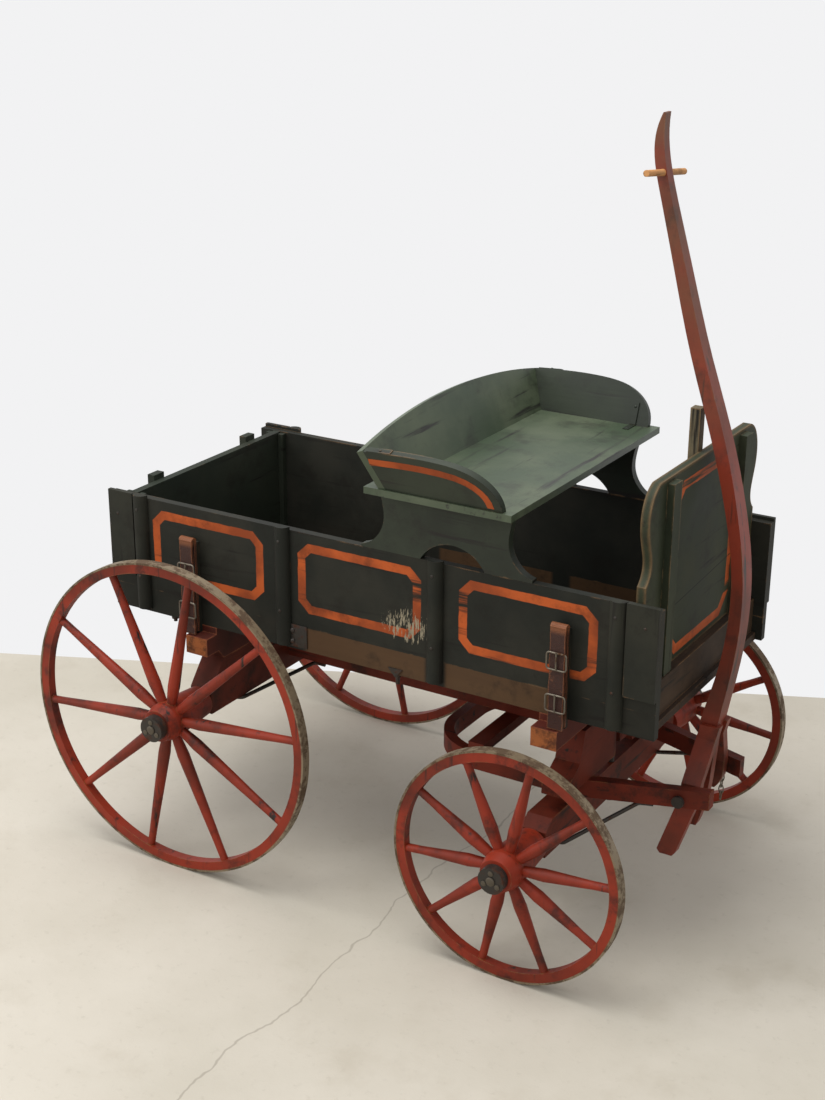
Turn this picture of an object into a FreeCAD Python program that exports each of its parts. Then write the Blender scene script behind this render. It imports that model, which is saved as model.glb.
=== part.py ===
"""Goat wagon: a small farm-type box wagon with a spring-backed seat, a steered front gear and a
standing tongue.  Millimetres, +Z up, +X forwards, +Y to the wagon's left.

Lengths along X are written from the rear axle line and heights from the ground.  Every object is
then moved back by origin_x, so the finished wagon has its origin on the ground under the middle
of its own length and width.
"""
import FreeCAD, Part
import math
import os
import re
import Sketcher

DOC = FreeCAD.newDocument("goat_wagon")
SHEET = DOC.addObject("Spreadsheet::Sheet", "Sizes")

# name, value in mm (or degrees, or a count), what it is
SIZES = [
    # running gear
    ("wheelbase", 588, "rear axle line to front axle line"),
    ("track_width", 612, "between the wheels' middle planes"),
    ("rear_wheel_radius", 254, "over the tyre"),
    ("front_wheel_radius", 178, "over the tyre"),
    ("tyre_thick", 3, "steel hoop"),
    ("tyre_width", 16, "steel hoop"),
    ("felloe_depth", 14, "wooden rim, measured along a spoke"),
    ("felloe_width", 15, "wooden rim, across"),
    ("spoke_count", 10, "in each wheel"),
    ("spoke_start", 6, "degrees that a wheel stands turned"),
    ("spoke_rim_radius", 6, "spoke where it meets the rim"),
    ("spoke_swell_radius", 9.5, "spoke at its thickest"),
    ("spoke_swell_at", 60, "from the wheel's centre to the thickest place"),
    ("spoke_hub_radius", 7, "spoke where it meets the hub"),
    ("spoke_taper", 25, "from the rim inwards, where a spoke keeps its thin end"),
    ("spoke_bite", 3, "spoke let into the hub and the rim"),
    ("hub_radius", 30, "at the spokes"),
    ("hub_end_radius", 25, "at both ends"),
    ("hub_seat", 13, "half length of the hub's thick middle"),
    ("hub_inside", 75, "from the wheel's middle plane inwards"),
    ("hub_outside", 30, "from the wheel's middle plane outwards"),
    ("spindle_radius", 7, "iron axle end inside the hub"),
    ("running_gap", 0.3, "between a turning piece and its neighbour"),
    ("glue_gap", 0.05, "round a rod that is fixed in its hole"),
    ("axle_nut_radius", 20, "round nut on the spindle's end"),
    ("axle_nut_length", 14, "round nut on the spindle's end"),
    ("axle_collar_radius", 17, "iron collar between axle and hub"),
    ("axle_collar_length", 5, "iron collar between axle and hub"),
    # rear axle, bolsters and reach
    ("timber_depth", 40, "axles, sandboard and bolsters, along X"),
    ("rear_axle_top", 318, "height of its top in the middle"),
    ("rear_axle_shoulder", 190, "half length of the tall middle"),
    ("axle_end_half", 20, "half height of an axle at its ends"),
    ("bolster_half", 232, "half length of both bolsters"),
    ("bolster_end_height", 40, "from the floor's underside to the underside of a bolster's end"),
    ("bolster_end_drop", 11, "top of a bolster's end, below the floor's underside"),
    ("bolster_shoulder", 203, "half length of a bolster's underside"),
    ("bolster_height", 40, "height of the front bolster"),
    ("bolster_step", 30, "front bolster's slope, along Y"),
    ("reach_bottom", 256.5, "height of its underside"),
    ("reach_height", 26, "the coupling pole's section"),
    ("reach_width", 32, "the coupling pole's section"),
    ("reach_tail", 46, "behind the rear axle line"),
    ("rod_radius", 3.2, "iron brace rods"),
    ("rod_bend", 9, "bend of the iron brace rods"),
    ("rod_flat", 20, "straight ends of the iron brace rods"),
    ("reach_brace_x", 70, "where the reach's braces meet it"),
    ("reach_brace_y", 155, "braces' start under the rear axle"),
    ("hound_brace_x", 690, "where the front braces meet the hounds"),
    ("hound_brace_y", 168, "braces' start under the front axle"),
    # front gear
    ("king_offset", 14, "kingpin ahead of the front axle line"),
    ("king_radius", 5, "kingpin"),
    ("king_nut", 8, "length of the kingpin's nut"),
    ("king_bite", 30, "kingpin inside the front bolster"),
    ("front_axle_shoulder", 205, "half length of its flat top"),
    ("hound_bottom", 212, "height of the bent hounds' underside"),
    ("hound_height", 28, "bent hounds"),
    ("hound_thick", 16, "bent hounds"),
    ("hound_front_half", 59, "centre line to the wagon's middle at the front"),
    ("hound_wide_half", 124, "centre line to the wagon's middle behind the axle"),
    ("hound_front_x", 788, "front ends"),
    ("hound_bend_x", 592, "where the arms turn parallel"),
    ("hound_rear_x", 353, "centre line of the rear bow"),
    ("hound_bow_radius", 88, "bend of the rear bow's centre line"),
    ("hound_bend_radius", 160, "bend of each arm's centre line"),
    ("hound_spare", 6, "arms are bent this much too long and then cut square"),
    ("slider_x", 441, "cross bar's middle"),
    ("slider_width", 26, "cross bar along X"),
    ("slider_height", 16, "cross bar"),
    ("sandboard_half", 138, "half length of its top"),
    ("sandboard_foot_half", 192, "half length of its foot"),
    ("sandboard_foot_height", 16, "its thin ends"),
    ("sandboard_top", 326, "height of its top"),
    ("sandboard_notch_half", 30, "half width of the reach's passage"),
    ("sandboard_notch_top", 292, "top of the reach's passage"),
    ("wear_plate_radius", 46, "turning plates"),
    ("wear_plate_thick", 3.7, "turning plates"),
    # tongue
    ("pivot_x", 748, "tongue bolt"),
    ("pivot_height", 224, "tongue bolt"),
    ("pivot_radius", 4.5, "tongue bolt"),
    ("pivot_head_radius", 9, "tongue bolt's head and nut"),
    ("pivot_head_length", 6, "tongue bolt's head and nut"),
    ("pole_tip_half", 8, "half width of the pole at its tip"),
    ("pole_fork_half", 17, "half width of the pole above the fork"),
    ("pole_neck_height", 600, "above this the pole grows narrower"),
    ("fork_height", 322, "where the side legs leave the pole"),
    ("pole_tail_half", 8, "half width of the pole below the fork"),
    ("leg_thick", 15, "side legs"),
    ("leg_depth", 29, "side legs"),
    ("leg_clear", 10, "side legs to the hounds' inner faces"),
    ("leg_right_foot", 122, "height of the right leg's foot"),
    ("leg_left_foot", 196, "height of the left leg's foot"),
    ("leg_rounding", 6, "height of the narrowed end of each foot"),
    ("leg_slant", 0.28, "legs' backward slant below the bolt, for each mm of height"),
    ("handle_height", 1094, "dowel near the tip"),
    ("handle_tilt", 6, "degrees, right end up"),
    ("handle_radius", 4.4, "dowel"),
    ("handle_half", 63, "half length of the dowel"),
    ("handle_seat_half", 10.5, "half length of its thicker middle, fixed in the pole"),
    ("handle_seat_extra", 0.4, "more radius there"),
    # box
    ("box_rear", 177, "sides reach this far behind the rear axle line"),
    ("box_front", 755, "front ends of the sides"),
    ("box_half", 206, "half width over the side boards"),
    ("board_thick", 13, "side boards, tailgate and dash"),
    ("floor_bottom", 374, "height of the floor's underside"),
    ("floor_thick", 12, "floor boards"),
    ("floor_count", 4, "floor boards"),
    ("floor_seam", 1, "between floor boards"),
    ("floor_rear_inset", 8, "floor's rear end from the sides' rear ends"),
    ("floor_front_inset", 10, "floor's front end from the sides' front ends"),
    ("floor_rebate", 1, "depth that the floor is planed down under tailgate, dash post and sill"),
    ("sill_top", 412, "height of the side sills' tops"),
    ("side_top", 563, "height of the side boards' tops"),
    ("front_sill_depth", 26, "cross sill under the dash"),
    ("dash_front", 725, "dash's front face"),
    ("dash_bottom", 440, "height of the dash's bottom edge"),
    ("dash_top", 722, "height of the dash's top edge"),
    ("dash_waist_half", 178, "half width of the dash's waist"),
    ("dash_waist_height", 616, "height of the dash's waist"),
    ("dash_bulge_half", 192, "half width of the dash's upper part"),
    ("dash_bulge_height", 672, "height of its widest place"),
    ("dash_top_half", 160, "half length of the straight top edge"),
    ("dash_cleat_y", 128, "middle of the dash's cleats"),
    ("dash_post_half", 8, "half width of the post behind the dash"),
    ("dash_post_depth", 15, "post behind the dash"),
    ("dash_post_top", 783, "height of the post's top"),
    ("gate_rear", 149, "tailgate's outer face behind the rear axle line"),
    ("gate_side_gap", 1, "tailgate to the sides"),
    ("gate_face_gap", 1, "tailgate to its guides"),
    ("guide_size", 10, "tailgate's guide strips"),
    ("gate_cleat_y", 122, "middle of the tailgate's cleats"),
    ("cleat_width", 25, "cleats along X or Y"),
    ("cleat_proud", 13, "cleats"),
    ("cleat_bottom", 380, "height of the cleats' lower ends"),
    ("second_cleat_x", 150, "middle of the second cleat from the rear"),
    ("third_cleat_x", 413, "middle of the third cleat from the rear"),
    ("gate_cleat_gap", 4, "tailgate's cleats above the floor"),
    ("gate_cleat_rise", 9, "tailgate's cleats above its top edge"),
    ("guide_drop", 2, "guide strips below the side boards' tops"),
    ("dash_cleat_proud", 11, "dash's cleats"),
    ("dash_cleat_drop", 6, "dash's cleats below its top edge"),
    ("cleat_rise", 5, "cleats above the side boards"),
    ("post_width", 47, "flat posts at the ends of the sides"),
    ("post_proud", 7, "flat posts at the ends of the sides"),
    ("post_bottom", 432, "height of the posts' lower ends"),
    ("piece_gap", 0.5, "between neighbours that share a side"),
    # seat
    ("seat_rear", 315, "rear edge of the seat board"),
    ("seat_front", 548, "front edge of the seat board"),
    ("seat_half", 241.5, "half width of the seat board"),
    ("seat_top", 668, "height of the seat board's top"),
    ("seat_thick", 10, "seat board"),
    ("riser_top_rear", 318, "riser under the seat board"),
    ("riser_top_front", 534, "riser under the seat board"),
    ("riser_flare", 30, "riser's foot, past its top at both ends"),
    ("riser_waist", 7, "hollow of the riser's edges"),
    ("riser_arch_x", 438, "middle of the arch under the riser"),
    ("riser_arch_half", 52, "arch, half of its span"),
    ("riser_arch_height", 30, "arch"),
    ("arm_thick", 10, "seat's side panels"),
    ("arm_flare", 20, "degrees outwards"),
    ("arm_height", 66, "along the slope"),
    ("arm_base_half", 228, "half width between the panels' inner feet"),
    ("arm_front", 533, "front end of the side panels"),
    ("back_thick", 10, "seat back"),
    ("back_lean", 22, "degrees backwards"),
    ("back_foot", 349, "front face of the back at the seat board"),
    ("back_end_height", 63, "along the slope, at both ends"),
    ("back_arch_height", 91, "along the slope, in the middle"),
    # stakes and straps
    ("stake_thick", 8, "stakes on the bolsters' ends"),
    ("stake_width", 20, "stakes on the bolsters' ends"),
    ("stake_top", 512, "height of the stakes"),
    ("strap_width", 24, "leather straps"),
    ("strap_thick", 13, "folded leather straps"),
    ("strap_top", 522, "height of the straps' tops"),
    ("front_strap_x", 616, "middle of the front straps"),
    ("rear_strap_x", -17, "middle of the rear straps"),
]
NAMES = {name for name, value, note in SIZES}


def fill_sheet():
    """Write every size and its note into the sheet, one row each."""
    for row, (name, value, note) in enumerate(SIZES, start=1):
        SHEET.set(f"A{row}", name)
        SHEET.set(f"B{row}", str(value))
        SHEET.set(f"C{row}", note)
        SHEET.setAlias(f"B{row}", name)
    total = len(SIZES) + 1
    SHEET.set(f"A{total}", "origin_x")
    SHEET.set(f"B{total}", "=(hound_front_x - rear_wheel_radius) / 2")
    SHEET.setAlias(f"B{total}", "origin_x")
    NAMES.add("origin_x")
    DOC.recompute()


def spell(text):
    """Give an expression with each size name pointing into the sheet."""
    return re.sub(r"[a-z_]+", lambda m: f"Sizes.{m.group()}" if m.group() in NAMES else m.group(),
                  str(text))


def value_of(text):
    """Work an expression out now, for the shapes that take plain numbers."""
    found = SHEET.evalExpression(spell(text))
    return float(getattr(found, "Value", found))


def bind(thing, **rules):
    """Tie properties of an object to expressions; __ in a name stands for a dot."""
    for prop, text in rules.items():
        thing.setExpression(prop.replace("__", "."), spell(text))
    return thing


def put(thing, x, y, z):
    """Tie an object's place to expressions, with x counted from the rear axle line."""
    bind(thing, Placement__Base__x=f"({x}) - origin_x", Placement__Base__y=y, Placement__Base__z=z)
    return thing


def label(thing, name):
    """Name a finished sub-part; the name is also its file's name."""
    thing.Label = name
    PARTS.append(thing)
    return thing


PARTS = []
# cutting tools are this long, so that they pass right through
THROUGH = 400


def box(x, y, z):
    """A box from three (low, high) pairs of expressions."""
    thing = DOC.addObject("Part::Box", "Box")
    bind(thing, Length=f"({x[1]}) - ({x[0]})", Width=f"({y[1]}) - ({y[0]})",
         Height=f"({z[1]}) - ({z[0]})")
    return put(thing, x[0], y[0], z[0])


def rod(radius, length, x, y, z, along="Z"):
    """A cylinder whose start is at (x, y, z) and which runs along +Y or +Z."""
    thing = DOC.addObject("Part::Cylinder", "Rod")
    if along == "Y":
        thing.Placement.Rotation = FreeCAD.Rotation(FreeCAD.Vector(1, 0, 0), -90)
    bind(thing, Radius=radius, Height=length)
    return put(thing, x, y, z)


def join(things, kind="Part::MultiFuse"):
    """One object from several, fused where they touch."""
    thing = DOC.addObject(kind, "Join")
    if kind == "Part::Compound":
        thing.Links = things
    else:
        thing.Shapes = things
    return thing


def cut(base, tool):
    """The base with the tool taken away."""
    thing = DOC.addObject("Part::Cut", "Cut")
    thing.Base = base
    thing.Tool = tool
    return thing


def free_shape(name, shape):
    """A sub-part whose outline is curved freely; its shape comes from Part's own functions."""
    thing = DOC.addObject("Part::Feature", name)
    thing.Shape = shape
    put(thing, 0, 0, 0)
    return label(thing, name)


def vec(x, y, z):
    """A point from numbers."""
    return FreeCAD.Vector(x, y, z)


def both_sides(make):
    """Call make(sign) for the left and the right and give both results."""
    return [make(1), make(-1)]


def span(sign, near, far):
    """A (low, high) pair across Y for a piece between near and far on one side."""
    return (near, far) if sign > 0 else (f"-({far})", f"-({near})")


# ---------------------------------------------------------------- wheels
def section(body, name, corners):
    """A closed sketch on the body's XY plane with every corner tied to two expressions."""
    sketch = body.newObject("Sketcher::SketchObject", name)
    plane = next(o for o in body.Origin.OriginFeatures if o.Role == "XY_Plane")
    sketch.AttachmentSupport = [(plane, "")]
    sketch.MapMode = "FlatFace"
    points = [vec(value_of(u), value_of(v), 0) for u, v in corners]
    count = len(points)
    for i in range(count):
        sketch.addGeometry(Part.LineSegment(points[i], points[(i + 1) % count]), False)
    for i in range(count):
        sketch.addConstraint(Sketcher.Constraint("Coincident", i, 2, (i + 1) % count, 1))
    for i, (u, v) in enumerate(corners):
        for kind, text in (("DistanceX", u), ("DistanceY", v)):
            rule = sketch.addConstraint(Sketcher.Constraint(kind, -1, 1, i, 1, value_of(text)))
            sketch.setExpression(f"Constraints[{rule}]", spell(text))
    return sketch


def revolve(body, name, corners, axis="V_Axis"):
    """Turn a closed section about the body's Y axis (or X, for a spoke) and add it."""
    sketch = section(body, f"{name}_section", corners)
    feature = body.newObject("PartDesign::Revolution", name)
    feature.Profile = sketch
    feature.ReferenceAxis = (sketch, [axis])
    feature.Angle = 360
    return feature


def turned_body(name, side, x, radius):
    """An empty body on a wheel's axis, its own +Y pointing away from the wagon."""
    body = DOC.addObject("PartDesign::Body", name)
    outwards = FreeCAD.Rotation(vec(0, 0, 1), 0 if side > 0 else 180)
    body.Placement.Rotation = outwards * FreeCAD.Rotation(vec(0, 1, 0), value_of("spoke_start"))
    put(body, x, f"{side} * track_width / 2", radius)
    return label(body, name)


def wheel(end, side_name, side, x, radius):
    """Hub, spokes and wooden rim in one piece, and the steel tyre round them."""
    body = turned_body(f"wheel_{end}_{side_name}", side, x, radius)
    bore = "spindle_radius + running_gap"
    revolve(body, "hub", [
        (bore, "-hub_inside"), ("hub_end_radius", "-hub_inside"),
        ("hub_radius", "-hub_seat"), ("hub_radius", "hub_seat"),
        ("hub_end_radius", "hub_outside"), (bore, "hub_outside")])
    inner = f"{radius} - tyre_thick - felloe_depth"
    spoke = revolve(body, "spoke", [
        ("hub_end_radius - spoke_bite", "0"), (f"{inner} + spoke_bite", "0"),
        (f"{inner} + spoke_bite", "spoke_rim_radius"), (f"{inner} - spoke_taper", "spoke_rim_radius"),
        ("spoke_swell_at", "spoke_swell_radius"),
        ("hub_end_radius - spoke_bite", "spoke_hub_radius")], "H_Axis")
    DOC.recompute()
    ring = body.newObject("PartDesign::PolarPattern", "spokes")
    ring.Originals = [spoke]
    axis = next(o for o in body.Origin.OriginFeatures if o.Role == "Y_Axis")
    ring.Axis = (axis, [""])
    ring.Angle = 360
    bind(ring, Occurrences="spoke_count")
    body.Tip = ring
    DOC.recompute()
    rim = revolve(body, "felloe", [
        (inner, "-felloe_width / 2"), (f"{radius} - tyre_thick - glue_gap", "-felloe_width / 2"),
        (f"{radius} - tyre_thick - glue_gap", "felloe_width / 2"), (inner, "felloe_width / 2")])
    body.Tip = rim
    hoop = turned_body(f"tyre_{end}_{side_name}", side, x, radius)
    revolve(hoop, "hoop", [
        (f"{radius} - tyre_thick", "-tyre_width / 2"), (radius, "-tyre_width / 2"),
        (radius, "tyre_width / 2"), (f"{radius} - tyre_thick", "tyre_width / 2")])


def wheels():
    """All four wheels."""
    for side_name, side in (("left", 1), ("right", -1)):
        wheel("rear", side_name, side, "0", "rear_wheel_radius")
        wheel("front", side_name, side, "wheelbase", "front_wheel_radius")


# ---------------------------------------------------------------- axles
AXLE_END = "track_width / 2 - hub_inside - running_gap - axle_collar_length"
SPINDLE_END = "track_width / 2 + hub_outside + running_gap"


def axle_irons(name, x, height):
    """Collar, spindle and round nut at both ends of an axle."""
    def one(sign):
        runs = (("axle_collar_radius", AXLE_END, "axle_collar_length"),
                ("spindle_radius", AXLE_END, f"{SPINDLE_END} - ({AXLE_END}) + axle_nut_length"),
                ("axle_nut_radius", SPINDLE_END, "axle_nut_length"))
        pieces = []
        for radius, start, length in runs:
            low = start if sign > 0 else f"-({start}) - ({length})"
            pieces.append(rod(radius, length, x, low, height, "Y"))
        return join(pieces)
    label(join(both_sides(one), "Part::Compound"), name)


def beam(name, x_low, x_high, outline, holes=()):
    """A timber with the same outline, in Y and Z, all along its depth, less its holes."""
    low = value_of(x_low)
    points = [vec(low, value_of(y), value_of(z)) for y, z in outline]
    points += [vec(low, -value_of(y), value_of(z)) for y, z in reversed(outline)]
    face = Part.Face(Part.makePolygon(points + points[:1]))
    shape = face.extrude(vec(value_of(x_high) - low, 0, 0))
    for hole in holes:
        shape = shape.cut(hole)
    return free_shape(name, shape)


def timber_span(x):
    """Low and high X of a timber whose middle is at x."""
    return f"{x} - timber_depth / 2", f"{x} + timber_depth / 2"


def post_hole(radius, x, z_low, z_high):
    """An upright cylinder to cut away."""
    return Part.makeCylinder(value_of(radius), value_of(z_high) - value_of(z_low),
                             vec(value_of(x), 0, value_of(z_low)))


def reach_hole():
    """The reach's passage through the rear axle."""
    side = value_of("reach_width") + 2 * value_of("glue_gap")
    low = vec(-THROUGH / 2, -side / 2, value_of("reach_bottom - glue_gap"))
    return Part.makeBox(THROUGH, side, value_of("reach_height + 2 * glue_gap"), low)


# a bolster's end: its square end is lower than the floor that the middle carries
BOLSTER_END = [
    ("bolster_half", "floor_bottom - bolster_end_height"),
    ("bolster_half", "floor_bottom - bolster_end_drop"),
    ("box_half + piece_gap", "floor_bottom - bolster_end_drop"),
    ("box_half + piece_gap", "floor_bottom")]


def rear_gear():
    """Rear axle with the reach through it, the bolster on top and the iron braces."""
    axle_mid = "rear_wheel_radius"
    low, high = timber_span("0")
    beam("rear_axle", low, high, [
        (AXLE_END, f"{axle_mid} - axle_end_half"), (AXLE_END, f"{axle_mid} + axle_end_half"),
        ("rear_axle_shoulder", "rear_axle_top")], [reach_hole()])
    axle_irons("rear_axle_irons", "0", axle_mid)
    beam("rear_bolster", low, high, [
        ("rear_axle_shoulder", "rear_axle_top"),
        ("bolster_shoulder", "floor_bottom - bolster_end_height")] + BOLSTER_END)
    pole = box(("-reach_tail", f"{KING_X} + timber_depth / 2"),
               ("-reach_width / 2", "reach_width / 2"),
               ("reach_bottom", "reach_bottom + reach_height"))
    label(cut(pole, rod("king_radius + glue_gap", THROUGH, KING_X, 0, 0)), "reach")

    def brace(sign):
        radius, flat = value_of("rod_radius"), value_of("rod_flat")
        start = vec(0, sign * value_of("reach_brace_y"),
                    value_of("rear_wheel_radius - axle_end_half") - radius)
        end = vec(value_of("reach_brace_x"), sign * (value_of("reach_width / 2") - radius),
                  value_of("reach_bottom") - radius)
        runs = [start, start + vec(flat, -sign * flat / 2, 0), end, end + vec(flat, 0, 0)]
        return round_rod(runs, radius, value_of("rod_bend"))
    free_shape("reach_braces", Part.makeCompound(both_sides(brace)))


def bent_path(points, radius):
    """Straight runs through the points, joined by tangent arcs."""
    edges = []
    start = points[0]
    for before, corner, after in zip(points, points[1:], points[2:]):
        back = (before - corner).normalize()
        ahead = (after - corner).normalize()
        turn = math.pi - back.getAngle(ahead)
        bend = radius if isinstance(radius, (int, float)) else radius[len(edges) // 2]
        reach = bend * math.tan(turn / 2)
        first = corner + back * reach
        last = corner + ahead * reach
        middle = (back + ahead).normalize()
        depth = bend / math.cos(turn / 2) - bend
        edges.append(Part.LineSegment(start, first).toShape())
        edges.append(Part.Arc(first, corner + middle * depth, last).toShape())
        start = last
    edges.append(Part.LineSegment(start, points[-1]).toShape())
    return Part.Wire(edges)


def round_rod(points, radius, bend):
    """A round iron rod along bent runs."""
    path = bent_path(points, bend)
    ring = Part.Wire(Part.makeCircle(radius, points[0], points[1] - points[0]))
    return path.makePipeShell([ring], True, False)


# ---------------------------------------------------------------- front gear
KING_X = "wheelbase + king_offset"


def hounds():
    """One bent timber: two arms that close in to the tongue, and a bow behind the axle."""
    middle = value_of("hound_bottom + hound_height / 2")
    front, bend, rear = (value_of(n) for n in ("hound_front_x", "hound_bend_x", "hound_rear_x"))
    close, wide = value_of("hound_front_half"), value_of("hound_wide_half")
    spare = value_of("hound_spare")
    points = [vec(front + spare, close - spare * (wide - close) / (front - bend), middle),
              vec(bend, wide, middle), vec(rear, wide, middle)]
    points += [vec(p.x, -p.y, p.z) for p in reversed(points)]
    bow, knee = value_of("hound_bow_radius"), value_of("hound_bend_radius")
    path = bent_path(points, [knee, bow, bow, knee])
    along = (points[1] - points[0]).normalize()
    across = along.cross(vec(0, 0, 1)) * value_of("hound_thick / 2")
    up = vec(0, 0, value_of("hound_height / 2"))
    corners = [points[0] + across + up, points[0] - across + up, points[0] - across - up,
               points[0] + across - up]
    bar = path.makePipeShell([Part.makePolygon(corners + corners[:1])], True, False)
    nose = Part.makeBox(THROUGH, THROUGH, THROUGH, vec(front, -THROUGH / 2, 0))
    return free_shape("hounds", bar.cut(nose).cut(pivot_bar("pivot_radius + glue_gap", THROUGH)))


def pivot_bar(radius, length):
    """A bar on the tongue bolt's line."""
    low = vec(value_of("pivot_x"), -length / 2, value_of("pivot_height"))
    return Part.makeCylinder(value_of(radius), length, low, vec(0, 1, 0))


def hound_face_at(x, side):
    """Distance from the wagon's middle to an arm's inner (-1) or outer (1) face at x."""
    front, bend = value_of("hound_front_x"), value_of("hound_bend_x")
    close, wide = value_of("hound_front_half"), value_of("hound_wide_half")
    slope = math.atan2(wide - close, front - bend)
    centre = close + (front - x) * math.tan(slope)
    return centre + side * value_of("hound_thick / 2") / math.cos(slope)


def front_gear():
    """Front axle, hounds, cross bar, sandboard, turning plate and the tongue's bolt."""
    hound_top = "hound_bottom + hound_height"
    low, high = timber_span("wheelbase")
    axle_low = "front_wheel_radius - axle_end_half"
    beam("front_axle", low, high, [
        (AXLE_END, axle_low), (AXLE_END, "front_wheel_radius + axle_end_half"),
        ("front_axle_shoulder", "hound_bottom")],
        [post_hole("king_radius + running_gap", KING_X, "0", "sandboard_top")])
    axle_irons("front_axle_irons", "wheelbase", "front_wheel_radius")
    hounds()
    label(box(("slider_x - slider_width / 2", "slider_x + slider_width / 2"),
              ("-hound_wide_half - hound_thick / 2", "hound_wide_half + hound_thick / 2"),
              (hound_top, f"{hound_top} + slider_height")), "slider_bar")
    low, high = timber_span(KING_X)
    foot_top = f"{hound_top} + sandboard_foot_height"
    beam("sandboard", low, high, [
        ("sandboard_notch_half", "sandboard_notch_top"), ("sandboard_notch_half", hound_top),
        ("sandboard_foot_half", hound_top), ("sandboard_foot_half", foot_top),
        ("sandboard_half + (sandboard_foot_half - sandboard_half) / 4",
         f"{foot_top} + (sandboard_top - ({foot_top})) / 3"),
        ("sandboard_half", "sandboard_top")],
        [post_hole("king_radius + running_gap", KING_X, "0", "sandboard_top")])
    plate = rod("wear_plate_radius", "wear_plate_thick", KING_X, 0, "sandboard_top")
    eye = rod("king_radius + running_gap", THROUGH, KING_X, 0, 0)
    label(cut(plate, eye), "lower_turning_plate")

    def brace(sign):
        radius, flat = value_of("rod_radius"), value_of("rod_flat")
        start = vec(value_of("wheelbase"), sign * value_of("hound_brace_y"), value_of(axle_low) - radius)
        end_x = value_of("hound_brace_x")
        middle = (hound_face_at(end_x, -1) + hound_face_at(end_x, 1)) / 2
        end = vec(end_x, sign * middle, value_of("hound_bottom") - radius)
        knee = start + vec(value_of("timber_depth / 2"), 0, 0)
        runs = [start, knee, end, end + vec(flat, -sign * flat / 3, 0)]
        return round_rod(runs, radius, value_of("rod_bend"))
    free_shape("hound_braces", Part.makeCompound(both_sides(brace)))
    head, length = value_of("pivot_head_radius"), value_of("pivot_head_length")
    under = hound_face_at(value_of("pivot_x") - head, 1) + value_of("piece_gap")
    heads = pivot_bar("pivot_head_radius", 2 * (under + length))
    between = pivot_bar("2 * pivot_head_radius", 2 * under)
    free_shape("tongue_bolt", heads.cut(between).fuse(pivot_bar("pivot_radius", 2 * under + length)))


def king():
    """Front bolster, its turning plate and the kingpin, all fast to the box."""
    low, high = timber_span(KING_X)
    bottom = "floor_bottom - bolster_height"
    beam("front_bolster", low, high, [
        ("bolster_shoulder - bolster_step", bottom),
        ("bolster_shoulder", "floor_bottom - bolster_end_height"),
        *BOLSTER_END],
        [post_hole("king_radius + glue_gap", KING_X, "0", f"{bottom} + king_bite")])
    plate = rod("wear_plate_radius", "wear_plate_thick", KING_X, 0, f"{bottom} - wear_plate_thick")
    eye = rod("king_radius + glue_gap", THROUGH, KING_X, 0, 0)
    label(cut(plate, eye), "upper_turning_plate")
    foot = "front_wheel_radius - axle_end_half - running_gap - king_nut"
    pin = rod("king_radius", f"{bottom} + king_bite - ({foot})", KING_X, 0, foot)
    nut = rod("2 * king_radius", "king_nut", KING_X, 0, foot)
    label(join([pin, nut]), "kingpin")


# ---------------------------------------------------------------- tongue
# height, forward offset of the middle from the pivot line and depth, from the tip down
POLE_CURVE = [
    (1172, -113, 4), (1130, -118, 14), (1070, -106, 15.5), (990, -83, 17), (860, -45, 19.5),
    (740, -4, 20), (640, 23, 18), (556, 37, 17), (487, 38, 18), (420, 31, 20), (350, 17, 25),
    (290, 6, 29), (224, 1, 29), (148, -14, 26)]


def pole():
    """The bent pole, wide above the fork and thin below it."""
    pivot = value_of("pivot_x")
    rear = [vec(pivot + mid - deep / 2, 0, z) for z, mid, deep in POLE_CURVE]
    front = [vec(pivot + mid + deep / 2, 0, z) for z, mid, deep in POLE_CURVE]
    sides = []
    for edge in (rear, front[::-1]):
        curve = Part.BSplineCurve()
        curve.interpolate(edge)
        sides.append(curve.toShape())
    ends = [Part.makeLine(rear[-1], front[-1]), Part.makeLine(front[0], rear[0])]
    face = Part.Face(Part.Wire([sides[0], ends[0], sides[1], ends[1]]))
    wide = 2 * value_of("pole_fork_half")
    slab = face.extrude(vec(0, wide, 0))
    slab.translate(vec(0, -wide / 2, 0))
    top, fork, tail = POLE_CURVE[0][0] + 1, value_of("fork_height"), POLE_CURVE[-1][0] - 1
    tip, neck, foot = (value_of(n) for n in ("pole_tip_half", "pole_fork_half", "pole_tail_half"))
    edge = [vec(0, tip, top), vec(0, neck, value_of("pole_neck_height")), vec(0, neck, fork),
            vec(0, foot, fork), vec(0, foot, tail)]
    edge += [vec(0, -p.y, p.z) for p in reversed(edge)]
    front_view = Part.Face(Part.makePolygon(edge + edge[:1])).extrude(vec(THROUGH, 0, 0))
    front_view.translate(vec(pivot - THROUGH / 2, 0, 0))
    shape = slab.common(front_view).cut(pivot_hole())
    shape = shape.cut(handle_bar("handle_radius + handle_seat_extra + glue_gap", "handle_half"))
    free_shape("tongue_pole", shape)


def pivot_hole():
    """The tongue bolt's hole in the tongue, with room to turn."""
    return pivot_bar("pivot_radius + running_gap", THROUGH)


def handle_x():
    """Middle of the pole at the handle's height, as a number."""
    z = value_of("handle_height")
    for (high, a, deep), (low, b, deeper) in zip(POLE_CURVE, POLE_CURVE[1:]):
        if low <= z <= high:
            return value_of("pivot_x") + b + (a - b) * (z - low) / (high - low)
    raise ValueError("the handle is off the pole")


def handle_bar(radius, half_length):
    """A tilted bar through the pole at the handle's place."""
    half, tilt = value_of(half_length), math.radians(value_of("handle_tilt"))
    along = vec(0, math.cos(tilt), -math.sin(tilt))
    middle = vec(handle_x(), 0, value_of("handle_height"))
    return Part.makeCylinder(value_of(radius), 2 * half, middle - along * half, along)


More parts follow.
